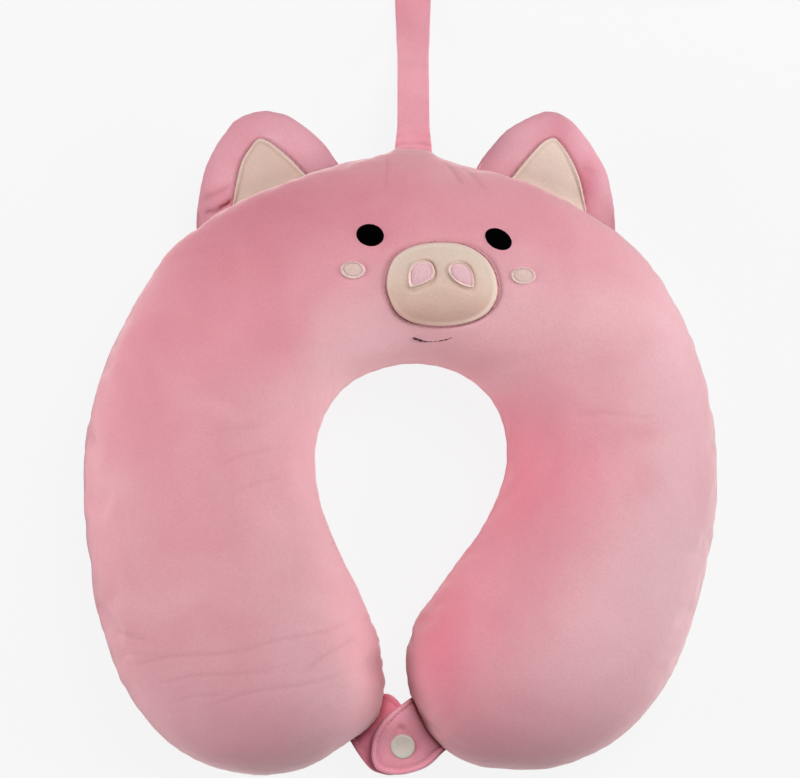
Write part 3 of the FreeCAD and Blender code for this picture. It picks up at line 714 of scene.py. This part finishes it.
def overSurface(tree):
    # gives the spot and the outward direction of a surface under or over a point, mm
    def top(x, y):
        hit = tree.ray_cast(Vector((x * mm, y * mm, 0.2)), -up)[0]
        return (hit or tree.find_nearest(Vector((x, y, seamHeight)) * mm)[0]) / mm

    def spot(x, y, reach=1.6):
        across = top(x + reach, y) - top(x - reach, y)
        along = top(x, y + reach) - top(x, y - reach)
        normal = across.cross(along)
        normal = normal.normalized() if normal.length > 1e-6 and normal.z > 0 else up
        return top(x, y), normal
    return spot


def overPlane(height):
    return lambda x, y: (Vector((x, y, height)), up)


def ovalPoints(wide, tall, count=36):
    points = []
    for number in range(count):
        angle = 2 * math.pi * number / count
        radius = 1 / math.hypot(math.cos(angle) / wide, math.sin(angle) / tall)
        points.append((radius * math.cos(angle), radius * math.sin(angle)))
    return points


def sewPatch(name, patch, material, body="pillow"):
    # a closed lens of rings on a surface: "profile" goes from middle to rim, "edge" from rim inwards in mm
    bm = bmesh.new()
    bmesh.ops.create_uvsphere(bm, u_segments=patch["segments"], v_segments=2 * patch["rings"], radius=1)
    threads = bm.loops.layers.uv.new("threads")
    lie, lean, deep = pileLayers(bm)
    inner, (cx, cy), napAndPaintedLight = patch.get("inner", 0.0), patch["middle"], patch.get("napAndPaintedLight")
    toEdge = edgeFinder(patch["points"])
    spots = {}
    for vert in bm.verts:
        angle = math.atan2(vert.co.y, vert.co.x)
        radial = math.acos(min(abs(vert.co.z), 1)) / (math.pi / 2)
        radius = toEdge(angle)
        share = 1 - (1 - radial) ** patch.get("crowd", 1)
        spread = inner + (1 - inner) * share
        fromRim = radius * (1 - spread)
        dx, dy = turned(radius * spread * math.cos(angle), radius * spread * math.sin(angle), patch.get("turn", 0))
        spots[vert] = (angle, radius, spread, dx, dy)
        base, normal = patch["surface"](cx + dx, cy + dy)
        if "edge" in patch:
            height, rim = profileHeight(patch["edge"], fromRim), patch["edge"][0][1]
        else:
            height, rim = profileHeight(patch["profile"], share), patch["profile"][-1][1]
        for groove in patch.get("grooves", ()):
            outside = groove["beyond"](cx + dx, cy + dy)
            bearing = math.atan2(cy + dy - groove["middle"][1], cx + dx - groove["middle"][0])
            height -= groove["depth"] * bell(outside, groove["width"])
            # painted shadow in the groove, darkest on the side that faces bearing 30 degrees
            shadowWeight = 0.15 + 0.85 * max(math.cos(bearing - math.radians(30)), 0)
            vert[deep] = max(vert[deep], groove["dark"] * shadowWeight * bell(outside - 0.5, 0.6))
        # painted highlight and painted shade along the rim: the pile-lie profile, its pale part strongest toward the
        # given side
        if "lie" in patch:
            vert[lie] = profileHeight(patch["lie"], fromRim)
            if "lieSide" in patch and vert[lie] > 0:
                vert[lie] *= 0.5 + 0.5 * math.cos(angle - math.radians(patch["lieSide"]))
        # the pile's lie and painted light and painted shade, changing from bottom to top
        if napAndPaintedLight:
            upward = ease(dy, -napAndPaintedLight["reach"], napAndPaintedLight["reach"])
            vert[lie] += between(napAndPaintedLight["lie"], upward)
            vert[lean] = between(napAndPaintedLight["lean"], upward)
        for (x, y), depth, width in patch.get("dimples", ()):
            height -= depth * bell(math.hypot(cx + dx - x, cy + dy - y), width)
        if "ripple" in patch:
            amount, count = patch["ripple"]
            height += amount * math.sin(angle * count) * bell(share - 0.5, 0.3)
        if vert.co.z < -1e-4:
            height = rim + (-patch["sunk"] - rim) * (1 - share ** 6)
        vert.co = (base + normal * height) * mm
    lay = patch.get("threadTurn")
    for face in bm.faces:
        for loop in face.loops:
            angle, radius, spread, dx, dy = spots[loop.vert]
            place = (angle * radius, radius * spread) if lay is None else turned(dx, dy, lay)
            loop[threads].uv = [value * mm for value in place]
    piece = newPiece(name, bm, material)
    if body:
        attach(piece, body)
    return piece


def sewStitches(name, stitches, material, body="pillow", segments=(8, 8)):
    # short loops of thread: each is its middle, its direction, the outward direction, and its
    # width, length and height
    bm = bmesh.new()
    for middle, along, outward, sizes in stitches:
        along = along.normalized()
        side = outward.cross(along).normalized()
        lay = Matrix((side, along, along.cross(side))).transposed().to_4x4()
        lay.translation = middle * mm
        size = Matrix.Diagonal([value / 2 * mm for value in sizes] + [1])
        bmesh.ops.create_uvsphere(bm, u_segments=segments[0], v_segments=segments[1], radius=1,
                                  matrix=lay @ size @ Matrix.Rotation(math.pi / 2, 4, "X"))
    piece = newPiece(name, bm, material)
    if body:
        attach(piece, body)
    return piece


def rowOfStitches(row, spots):
    return [(middle + outward * row["lift"], along, outward, (row["thick"], row["length"], row["thick"]))
            for middle, along, outward in spots]


def walkEdge(points, middle, row, surface):
    # even steps along a closed outline, for a row of stitches on a surface
    toEdge = edgeFinder(points)
    line = []
    for number in range(721):
        angle = 2 * math.pi * number / 720
        radius = toEdge(angle) - row["inset"]
        line.append(Vector((middle[0] + radius * math.cos(angle), middle[1] + radius * math.sin(angle))))
    total = sum((b - a).length for a, b in zip(line, line[1:]))
    step, walked, goal, spots = total / round(total / row["spacing"]), 0.0, 0.0, []
    for a, b in zip(line, line[1:]):
        length = (b - a).length
        while goal <= walked + length - 1e-9 and length > 0:
            spot = a + (b - a) * ((goal - walked) / length)
            base, normal = surface(spot.x, spot.y)
            ahead, _ = surface(spot.x + (b - a).x / length, spot.y + (b - a).y / length)
            spots.append((base, ahead - base, normal))
            goal += step
        walked += length
    return rowOfStitches(row, spots)


coverSurface = overSurface(coverTree)

# each nostril: a satin-stitched patch in a raised rim, its points round from the lower outer corner, mm
nostrilSettings = {
    "left": {"middle": (10.6, -11.0), "threadTurn": 20, "points": (
        (4.3, -17.0), (3.9, -14.5), (4.3, -10.1), (6.9, -6.3), (11.5, -5.1), (15.1, -6.3), (16.7, -10.1),
        (15.8, -13.2), (11.5, -16.1), (6.4, -17.9), (4.9, -17.9))},
    "right": {"middle": (29.2, -11.4), "threadTurn": -20, "points": (
        (22.9, -9.6), (24.4, -6.8), (27.7, -5.6), (32.0, -7.0), (34.6, -10.6), (35.5, -14.9), (35.4, -17.6),
        (34.4, -18.2), (29.6, -16.8), (25.1, -13.7))},
}
# the snout: a puff with a raised lip round its edge, a painted highlight along the lip, painted light and painted
# shade from bottom to top, and painted shadow in the grooves round the nostrils
snoutSettings = {
    "middle": snoutMiddle, "surface": coverSurface, "crowd": 1.5, "points": around(snoutEdge, snoutMiddle),
    "segments": 180, "rings": 44, "sunk": 2.5,
    "edge": ((0.0, -0.6), (0.5, 0.9), (1.2, 2.0), (2.0, 2.4), (3.0, 2.6), (5.0, 3.6), (9.0, 5.2), (14.0, 6.4),
             (22.0, 7.0), (60.0, 7.1)),
    "lie": ((0.0, -1.0), (0.6, 0.0), (1.1, 1.0), (2.0, 1.0), (3.0, 0.0), (60.0, 0.0)),
    "lieSide": 30, "napAndPaintedLight": {"reach": 16.0, "lie": (-0.3, 0.45), "lean": (0.2, -0.08)},
    "grooves": [{"middle": nostril["middle"], "beyond": beyondEdge(nostril["points"], nostril["middle"]),
                 "depth": 0.5, "width": 0.9, "dark": 0.8} for nostril in nostrilSettings.values()],
}
snoutRow = {"thick": 0.9, "length": 3.1, "lift": 0.1, "spacing": 2.9, "inset": -0.7}
snout = sewPatch("snoutPatch", snoutSettings, creamPlush)
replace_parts(snout, "snout_cover")
snoutPad = sewPatch("snoutWadding", {**snoutSettings, "segments": 48, "rings": 12, "edge": (
    (0.0, -1.9), (4.0, 0.8), (9.0, 3.2), (20.0, 4.9), (60.0, 5.2))}, polyesterFibre)
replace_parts(snoutPad, "snout_wadding")
snoutStitches = walkEdge(snoutSettings["points"], snoutMiddle, snoutRow, coverSurface)
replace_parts(sewStitches("snoutEdgeStitches", snoutStitches, roseThread), "snout_edge_stitch")
print("snout sewn on")

snoutBody = bmesh.new()
snoutBody.from_mesh(snout.data)
snoutSurface = overSurface(BVHTree.FromBMesh(snoutBody))
snoutBody.free()
for side, nostril in nostrilSettings.items():
    patch = {**nostril, "points": around(nostril["points"], nostril["middle"]), "surface": snoutSurface,
             "segments": 72, "rings": 10, "sunk": 0.9}
    rim = {**patch, "inner": 0.78, "threadTurn": None, "profile": ((0.0, -0.2), (0.5, 1.35), (1.0, -0.2)),
           "ripple": (0.1, 44)}
    patch["profile"] = ((0.0, 0.5), (0.5, 0.45), (0.85, 0.2), (1.0, -0.3))
    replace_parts(sewPatch(side + "Nostril", patch, rosePaleSatin), "nostril_" + side)
    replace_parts(sewPatch(side + "NostrilRim", rim, creamSatin), "nostril_" + side)

eyeSettings = {
    "left": {"turn": -12, "size": (7.0, 5.6), "threadTurn": 80},
    "right": {"turn": -30, "size": (7.2, 5.0), "threadTurn": 100},
}
cheekSettings = {"turn": -4, "size": (5.25, 3.5), "rimSize": (6.3, 4.3), "threadTurn": 10}
for side, eye in eyeSettings.items():
    patch = {**eye, "middle": middleOf("eye_" + side), "surface": coverSurface, "points": ovalPoints(*eye["size"]),
             "segments": 64, "rings": 10, "sunk": 0.8, "profile": ((0.0, 0.8), (0.7, 0.7), (0.92, 0.4), (1.0, -0.3))}
    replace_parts(sewPatch(side + "Eye", patch, blackSatin), "eye_" + side)
for side in ("left", "right"):
    patch = {**cheekSettings, "middle": middleOf("cheek_" + side), "surface": coverSurface,
             "points": ovalPoints(*cheekSettings["size"]), "segments": 64, "rings": 10, "sunk": 0.8,
             "profile": ((0.0, 0.5), (0.7, 0.4), (1.0, -0.3))}
    rim = {**patch, "points": ovalPoints(*cheekSettings["rimSize"]), "inner": 0.74, "threadTurn": None,
           "profile": ((0.0, -0.2), (0.5, 1.1), (1.0, -0.25)), "ripple": (0.12, 40)}
    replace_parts(sewPatch(side + "Cheek", patch, cheekSatin), "cheek_" + side)
    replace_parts(sewPatch(side + "CheekRim", rim, creamSatin), "cheek_" + side + "_rim")

# the mouth: spots along the smile, the thickness of each stitch and how far it stands out, mm
mouthSettings = {"length": 3.1, "flat": 1.2, "spots": (
    (7.6, -41.8, 1.3, 0.25), (9.9, -42.6, 1.3, 0.2), (12.2, -43.2, 0.8, 0.0), (14.8, -43.4, 0.6, -0.1),
    (17.4, -43.3, 0.6, -0.15), (20.0, -42.9, 0.7, -0.05), (22.5, -42.4, 0.7, -0.05), (24.6, -41.7, 0.55, -0.15))}


def sewMouth():
    spots, stitches = mouthSettings["spots"], []
    for number, (x, y, thick, lift) in enumerate(spots):
        before, after = spots[max(number - 1, 0)], spots[min(number + 1, len(spots) - 1)]
        base, normal = coverSurface(x, y)
        ahead, _ = coverSurface(x + (after[0] - before[0]) / 4, y + (after[1] - before[1]) / 4)
        sizes = (thick, mouthSettings["length"], thick / mouthSettings["flat"])
        stitches.append((base + normal * lift, ahead - base, normal, sizes))
    mouth = sewStitches("mouthStitches", stitches, darkThread, segments=(12, 10))
    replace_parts(mouth, "mouth_stitch")


sewMouth()
print("face sewn on")

# the seam sewn shut by hand: short slanting stitches over the groove on the left arm's inner edge,
# from and to these bearings from the neck hole
closingRow = {"first": 210.0, "last": 247.0, "count": 15, "thick": 1.0, "length": 4.6, "lift": -0.15, "slant": 0.5,
              "inward": 0.7}


def sewClosingSeam():
    spots = []
    for number in range(closingRow["count"]):
        share = (number + 0.5) / closingRow["count"]
        angle = math.radians(between((closingRow["first"], closingRow["last"]), share))
        out = Vector((math.cos(angle), math.sin(angle), 0))
        hit = coverTree.ray_cast((holeMiddle + up * (seamHeight + 0.2)) * mm, out)[0]
        if hit:
            along = Vector((-out.y, out.x, 0)) * closingRow["slant"] * (1 if number % 2 else -1) + up
            spots.append((hit / mm - out * closingRow["inward"], along, -out))
    seam = sewStitches("closingSeamStitches", rowOfStitches(closingRow, spots), pinkThread)
    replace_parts(seam, "closing_seam_stitches")


sewClosingSeam()
print("closing seam sewn")


# The ears

earSettings = {
    # height out from the seam, half width, lean to the crown, half thickness, mm
    "left": ((-8.0, 41.0, 0.0, 1.0), (1.5, 37.9, 0.3, 1.8), (11.0, 34.0, 1.75, 4.4), (22.0, 27.6, 3.2, 6.6),
             (31.0, 19.7, 4.9, 6.0), (36.5, 11.6, 5.0, 4.2), (38.4, 7.6, 4.4, 2.6), (39.3, 2.8, 4.4, 1.0)),
    "right": ((-8.0, 38.9, 0.9, 1.0), (1.5, 36.8, 2.8, 1.8), (11.0, 33.1, 4.1, 4.4), (22.0, 26.9, 5.9, 6.6),
              (31.0, 17.6, 8.2, 6.0), (36.5, 10.3, 9.9, 4.2), (38.6, 6.4, 10.8, 2.6), (39.6, 2.4, 11.2, 1.0)),
    "rings": 64, "segments": 160, "hingeAhead": 3.39, "cloth": 1.0, "groove": 0.4, "grooveWidth": 1.1,
    "liningGroove": 0.7, "liningGrooveWidth": 1.1, "liningDark": 0.45, "rimLightAndShade": -0.2, "rimReach": 2.5,
    "waddingFrom": 9.0, "waddingInset": 2.4,
}
# each lining's nap: its pile's lie, and painted light and painted shade
liningSettings = {
    "left": {"middle": (-69.0, 37.0), "napAndPaintedLight": {"reach": 15.0, "lie": (0.1, 0.1), "lean": (-0.03, -0.06)}, "points": (
        (-69.9, 57.9), (-71.4, 57.2), (-73.3, 55.0), (-78.6, 46.9), (-81.6, 36.4), (-83.2, 27.0), (-84.0, 19.5),
        (-72.1, 16.5), (-54.7, 25.0), (-41.8, 33.5), (-41.9, 35.2), (-47.2, 40.6), (-55.2, 48.6), (-63.7, 55.4),
        (-67.5, 57.6))},
    "right": {"middle": (76.0, 37.0), "napAndPaintedLight": {"reach": 15.0, "lie": (0.5, 0.5), "lean": (0.08, 0.03)}, "points": (
        (76.4, 58.4), (78.1, 57.4), (83.5, 50.4), (89.0, 39.4), (92.0, 28.0), (93.2, 20.5), (93.6, 14.6),
        (79.6, 16.5), (62.2, 25.0), (49.7, 31.0), (49.4, 32.8), (54.7, 37.9), (61.7, 46.4), (69.6, 54.9),
        (74.0, 57.9))},
}
# an ear's pile: its folds, as the cover's creases, with painted shade in them, how it has been brushed, as on the
# cover, in part a painted sheen, and painted light and painted shade
earPile = {
    "left": {
        "folds": [((-84.6, 27.6, -90.3, 23.4), 0.5, 1.3, 1.0), ((-89.5, 23.6, -96.5, 21.8), 0.3, 1.4, 0.5),
                  ((-85.5, 34.5, -97.1, 28.6), 0.3, 2.0, 0.2)],
        "strokes": [(-48, 52, 16, 16, 0.14), (-80, 64, 10, 10, -0.12), (-88, 28, 6, 6, -0.18), (-84, 40, 6, 6, 0.14),
                    (-64, 56, 6, 6, 0.25)],
        "lightAndShadeStrokes": [(-64, 60, 30, 30, -0.08), (-88, 24, 6, 12, 0.15), (-100, 44, 16, 16, -0.08)]},
    "right": {
        "folds": [((93.0, 24.0, 98.0, 14.0), 0.25, 2.2, 0.15), ((91.0, 43.0, 97.0, 41.0), 0.2, 2.2, 0.1)],
        "strokes": [(56, 48, 10, 10, 0.25), (92, 36, 6, 12, -0.35), (104, 36, 6, 12, 0.25), (80, 60, 6, 12, -0.2),
                    (96, 60, 10, 10, 0.18)],
        "lightAndShadeStrokes": [(76, 72, 30, 30, -0.08), (52, 44, 12, 6, 0.18), (96, 24, 6, 6, 0.18), (48, 60, 10, 10, -0.12)]},
}


def smoothSections(sections, rings):
    # a smooth run through the given sections
    last = len(sections) - 1
    for number in range(rings + 1):
        place = (number / rings) * last
        first = min(int(place), last - 1)
        near = [sections[min(max(first + offset, 0), last)] for offset in (-1, 0, 1, 2)]
        yield [catmullRom(*parts, place - first) for parts in zip(*near)]


def earFrame(side):
    joint = jointNamed(side + "_ear_fold")
    axis = Vector(joint["axis"]).normalized()
    out = Vector((-axis.y, axis.x, 0))
    root = Vector(joint["pos_m"]) / mm - out * earSettings["hingeAhead"]
    return root, out, axis if side == "left" else -axis


def shapeEar(side, grow=0.0):
    root, out, toCrown = earFrame(side)
    bm = bmesh.new()
    rings = []
    for height, half, lean, deep in smoothSections(earSettings[side], earSettings["rings"]):
        if grow < 0 and height < earSettings["waddingFrom"]:
            continue
        middle = root + out * (height + (grow if height > 30 else 0)) + toCrown * lean
        lay = Matrix((toCrown * (half + grow), up * max(deep + grow, 0.4), out)).transposed().to_4x4()
        lay = Matrix.Diagonal((mm, mm, mm, 1)) @ Matrix.Translation(middle) @ lay
        made = bmesh.ops.create_circle(bm, segments=earSettings["segments"], radius=1, matrix=lay)
        rings.append(made["verts"])
    bridgeRings(bm, rings)
    bmesh.ops.holes_fill(bm, edges=bm.edges, sides=0)
    bmesh.ops.recalc_face_normals(bm, faces=bm.faces)
    bm.normal_update()
    if grow == 0:
        dressEar(bm, side)
    return bm


def dressEar(bm, side):
    # the seam's groove, the lining's sewn edge, the folds, how the pile lies, and painted light and painted shade:
    # painted shade along the rim, in the folds and by the lining's edge
    pile = earPile[side]
    beyondLining = beyondEdge(liningSettings[side]["points"], liningSettings[side]["middle"])
    lie, lean, deep = pileLayers(bm)
    for vert in bm.verts:
        spot, normal = vert.co / mm, vert.normal
        x, y, z = spot
        rise = z - seamHeight
        flat = Vector((normal.x, normal.y, 0))
        shift = normal * 0.4 * noise.noise(spot / 15)
        shift -= flat * earSettings["groove"] * bell(rise, earSettings["grooveWidth"])
        shift -= flat * 0.08 * math.sin((x + y) * 0.9 + 3 * noise.noise(spot / 17)) * bell(rise, 4)
        vert[lie] = strokeSum(x, y, pile["strokes"])
        vert[lean] = strokeSum(x, y, pile["lightAndShadeStrokes"]) + earSettings["rimLightAndShade"] * bell(rise, earSettings["rimReach"])
        if rise > 0:
            away = beyondLining(x, y)
            shift -= normal * earSettings["liningGroove"] * bell(away, earSettings["liningGrooveWidth"])
            shift += normal * creaseDepthAndShade(x, y, pile["folds"])
            vert[deep] = max(creaseShade(x, y, pile["folds"]), earSettings["liningDark"] * bell(away - 0.3, 0.7))
        vert.co += shift * mm


def makeEar(side):
    body = side + "_ear"
    whole = shapeEar(side)
    panels = makePanels(whole, (side + "EarFront", side + "EarBack"), pinkEarPlush, earSettings["cloth"], 0.01)
    for panel, part in zip(panels, ("_front", "_back")):
        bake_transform(panel)
        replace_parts(panel, body + part)
    surface = overSurface(BVHTree.FromBMesh(whole))
    whole.free()
    wadding = newPiece(side + "EarWadding", shapeEar(side, -earSettings["waddingInset"]), polyesterFibre)
    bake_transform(wadding)
    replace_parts(wadding, body + "_wadding")
    spec = liningSettings[side]
    patch = {**spec, "surface": surface, "points": around(spec["points"], spec["middle"]),
             "segments": 160, "rings": 24, "sunk": 0.3, "crowd": 1.8,
             # the lining's lip: a painted highlight on it and painted shade in the groove inside it
             "edge": ((0.0, 0.0), (0.3, 1.1), (0.8, 1.7), (1.5, 1.1), (2.2, 0.6), (4.0, 0.7), (60.0, 1.0)),
             "lie": ((0.0, 0.6), (0.8, 1.0), (1.3, 0.6), (2.0, -0.4), (3.2, 0.0), (60.0, 0.0))}
    lining = sewPatch(side + "EarLining", patch, creamLining, body=None)
    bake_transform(lining)
    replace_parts(lining, body + "_lining")


for side in ("left", "right"):
    makeEar(side)
print("ears made")


# The hanging strap

strapSettings = {
    "middle": 6.7, "width": 16.0, "rootWidth": 18.4, "farWidth": 18.6, "thickness": 2.6, "ply": 1.25,
    "start": 44.0, "leadEnd": 56.0, "bend": 55.29, "fall": 50.0, "eyeHeight": 8.2, "eyeStraight": 9.0,
    "segments": 28,
    # how its pile leans along Y, as painted light and painted shade, and its pressed fold lines with painted shade in
    # them: place along Y, how dark
    "lean": ((56.0, -0.08), (68.0, -0.15), (92.0, 0.0), (106.0, -0.03), (124.0, -0.16), (170.0, -0.16)),
    "folds": ((56.5, 0.22), (61.3, 0.1)),
}


def strapLine():
    # from the crown's seam, down in two bends to the table: place along Y, height, direction
    bend, fall = strapSettings["bend"], math.radians(strapSettings["fall"])
    level, y = seamHeight, strapSettings["leadEnd"]
    line = [(strapSettings["start"] + step * 0.5, level, 0.0) for step in range(24)]
    for step in range(25):
        angle = fall * step / 24
        line.append((y + bend * math.sin(angle), level - bend * (1 - math.cos(angle)), -angle))
    y, level = y + 2 * bend * math.sin(fall), level - 2 * bend * (1 - math.cos(fall))
    for step in range(1, 25):
        angle = fall * (1 - step / 24)
        line.append((y - bend * math.sin(angle), level + bend * (1 - math.cos(angle)), -angle))
    return line


def ribbonRing(bm, y, z, lean, width, thick, ridge):
    # one cross-section of folded cloth: flat with round edges and a soft ridge along its middle
    made = bmesh.ops.create_circle(bm, segments=strapSettings["segments"], radius=1)["verts"]
    for vert in made:
        across, over = vert.co.x, vert.co.y
        side = math.copysign(abs(across) ** 0.7, across) * width / 2
        lift = math.copysign(abs(over) ** 0.45, over) * thick / 2
        if over > 0:
            lift += ridge * (bell(side + 0.8, 2.4) - 0.4 * bell(abs(side) - 5.2, 1.6))
        vert.co = Vector((strapSettings["middle"] + side, y - lift * math.sin(lean), z + lift * math.cos(lean))) * mm
    return made


def makeStrap():
    width, rootWidth, farWidth, ply = (strapSettings[key] for key in ("width", "rootWidth", "farWidth", "ply"))
    line = strapLine()
    bm = bmesh.new()
    rings = []
    for y, z, lean in line:
        wide = (width + (rootWidth - width) * bell(y - 53, 8.0) + (farWidth - width) * ease(y, 95, line[-1][0])
                + 0.35 * noise.noise(Vector((y / 9, 0, 3))))
        ridge = 0.45 * ease(y, 60, 70) + 0.25 * noise.noise(Vector((y / 12, 5, 0)))
        thick = strapSettings["thickness"] + 0.35 * bell(y - 58, 1.6) - 0.3 * bell(y - 60.5, 1.2)
        rings.append(ribbonRing(bm, y, z, lean, wide, thick, ridge))
    bridgeRings(bm, rings)
    bmesh.ops.holes_fill(bm, edges=bm.edges, sides=0)
    # the eye: one ply round an open slot, sewn back on the strap
    low, high = (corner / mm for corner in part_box("hang_loop"))
    radius, straight = strapSettings["eyeHeight"] / 2, strapSettings["eyeStraight"]
    hubZ, nearY = low.z + ply / 2 + radius, high.y - ply / 2 - radius - straight
    ends = []
    for hubY, first in ((nearY + straight, 0.0), (nearY, math.pi)):
        for step in range(13):
            angle = first + math.pi * step / 12
            ends.append(ribbonRing(bm, hubY + radius * math.sin(angle), hubZ - radius * math.cos(angle), angle,
                                   farWidth, ply, 0.0))
    bridgeRings(bm, ends + ends[:1])
    bmesh.ops.recalc_face_normals(bm, faces=bm.faces)
    # painted light and painted shade along Y, and painted shade in the pressed fold lines
    _, lean, deep = pileLayers(bm)
    for vert in bm.verts:
        x, y, _ = vert.co / mm
        vert[lean] = profileHeight(strapSettings["lean"], y)
        bowed = y + 0.018 * (x - strapSettings["middle"]) ** 2
        vert[deep] = sum(dark * bell(bowed - place, 0.7) for place, dark in strapSettings["folds"])
    strap = newPiece("hangingStrap", bm, pinkStrapPlush)
    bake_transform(strap)
    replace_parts(strap, "hang_loop")


makeStrap()
print("strap made")


# The closing tabs and their snap

# how a tab's pile lies and the painted light on it, at the free end and at the arms, the painted shade where it bears
# on the cover, with how far from it, mm, and its outline
tabSettings = {
    "upper": {
        "middle": (3.5, -240.0), "joint": "upper_tab_lift", "lie": (-0.05, 0.15), "lean": (0.12, 0.75),
        "touchShade": ((1.0, 1.3), (0.3, 2.6)), "points": (
            (5.5, -220.4), (1.0, -223.6), (-4.4, -227.6), (-9.6, -233.2), (-13.2, -240.0), (-14.3, -247.0),
            (-13.4, -252.8), (-10.0, -257.0), (0.0, -258.8), (12.5, -255.3), (20.4, -248.6), (26.0, -241.5),
            (21.0, -229.0), (14.5, -218.8), (9.5, -218.6))},
    "lower": {
        "middle": (-6.0, -240.0), "joint": "lower_tab_drop", "lie": (-0.35, -0.2), "lean": (0.12, 0.8),
        "touchShade": ((1.0, 1.5), (0.75, 4.0)), "points": (
            (-8.5, -219.3), (-4.0, -220.2), (0.5, -224.8), (6.0, -233.3), (9.5, -243.3), (8.5, -252.3), (3.5, -258.0),
            (-4.0, -260.2), (-10.0, -259.3), (-14.5, -257.3), (-19.0, -252.3), (-24.5, -243.8), (-26.5, -239.0),
            (-21.5, -229.0), (-14.5, -219.5))},
}
snapMiddle = middleOf("snap_cap")
tabHem = ((0.0, 0.0), (0.4, 1.2), (1.3, 1.9), (2.2, 1.7), (2.9, 1.15), (3.5, 1.2), (4.8, 1.9), (8.0, 2.3), (30.0, 2.3))
lowestHem = 1.45  # the lower tab is pressed flat under the upper one
tabDimples = ((snapMiddle, 1.2, 7.5), ((snapMiddle[0] - 0.8, snapMiddle[1] + 8.3), 1.5, 2.0))
tabRow = {"thick": 0.55, "length": 2.0, "lift": 1.15, "spacing": 2.5, "inset": 2.9}


def paintTabPileLightAndShade(ply, settings):
    deep, lie, lean = (ply.data.attributes[layer].data for layer in ("creaseDepthAndShade", "pileLieAndSheen", "paintedLightAndShade"))
    for number, vert in enumerate(ply.data.vertices):
        distance = coverTree.find_nearest(vert.co)[3] / mm
        share = ease(vert.co.y / mm, -241, -224)
        # painted shade where the tab bears on the cover, and painted light toward the arms
        deep[number].value = max(amount * bell(distance, width) for amount, width in settings["touchShade"])
        lie[number].value = between(settings["lie"], share)
        lean[number].value = between(settings["lean"], share)


def makeTab(name, spec):
    body = name + "_tab"
    bottom, middleLevel = sorted(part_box(body + part)[0].z / mm for part in ("_lining", "_face"))
    joint = jointNamed(spec["joint"])
    hinge, axis = Vector(joint["pos_m"]), Vector(joint["axis"]).normalized()
    away = Vector((-axis.y, axis.x, 0))
    free = Vector((*spec["middle"], 0)) * mm - Vector((hinge.x, hinge.y, 0))
    away = away if away.dot(free) > 0 else -away
    patch = {"middle": spec["middle"], "segments": 96, "rings": 26, "crowd": 1.4,
             "points": around(spec["points"], spec["middle"]), "surface": overPlane(middleLevel)}
    topSide = {**patch, "edge": tabHem, "sunk": 0.0, "dimples": tabDimples}
    if name == "lower":
        topSide["edge"] = [(inset, min(height, lowestHem)) for inset, height in tabHem]
        topSide["dimples"] = ()
    underSide = {**patch, "sunk": middleLevel - bottom, "edge": ((0.0, -0.2), (1.0, -0.05), (30.0, -0.05))}
    for part, shape in (("Face", topSide), ("Lining", underSide)):
        ply = sewPatch(name + "Tab" + part, shape, pinkTabPlush, body=None)
        paintTabPileLightAndShade(ply, spec)
        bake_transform(ply)
        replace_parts(ply, body + "_" + part.lower())
    stitches = walkEdge(patch["points"], spec["middle"], tabRow, patch["surface"])
    row = sewStitches(name + "TabStitches", stitches, pinkThread, body=None)
    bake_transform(row)
    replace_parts(row, body + "_stitching")


for name, spec in tabSettings.items():
    makeTab(name, spec)

# half a section through a cap: radius and height above its foot, with its post, mm
snapSettings = {"segments": 48, "height": 1.4, "profile": (
    (0.02, 1.15), (2.2, 1.17), (3.6, 1.3), (4.7, 1.42), (5.5, 1.3), (6.0, 0.95), (6.2, 0.5), (6.1, 0.1), (5.6, 0.0),
    (1.5, 0.0), (1.45, -3.6), (0.02, -3.6))}


def turnSnapCap(name, node, body, way):
    low, high = (corner.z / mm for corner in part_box(node))
    foot = (high if way > 0 else low) - way * snapSettings["height"]
    bm = bmesh.new()
    line = [bm.verts.new(((snapMiddle[0] + radius) * mm, snapMiddle[1] * mm, (foot + rise * way) * mm))
            for radius, rise in snapSettings["profile"]]
    for pair in zip(line, line[1:]):
        bm.edges.new(pair)
    bmesh.ops.spin(bm, geom=bm.verts[:] + bm.edges[:], cent=(snapMiddle[0] * mm, snapMiddle[1] * mm, 0),
                   axis=up, angle=2 * math.pi, steps=snapSettings["segments"], use_merge=True)
    bmesh.ops.remove_doubles(bm, verts=bm.verts, dist=0.005 * mm)
    bmesh.ops.holes_fill(bm, edges=bm.edges, sides=0)
    bmesh.ops.recalc_face_normals(bm, faces=bm.faces)
    cap = newPiece(name, bm, creamResin)
    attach(cap, body)
    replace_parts(cap, node)


turnSnapCap("snapCap", "snap_cap", "upper_tab", 1)
turnSnapCap("snapBackCap", "snap_back_cap", "lower_tab", -1)
for name in ("snap_socket", "snap_stud"):
    nodes[name].data.materials.clear()
    nodes[name].data.materials.append(creamResin)
print("tabs and snap made")
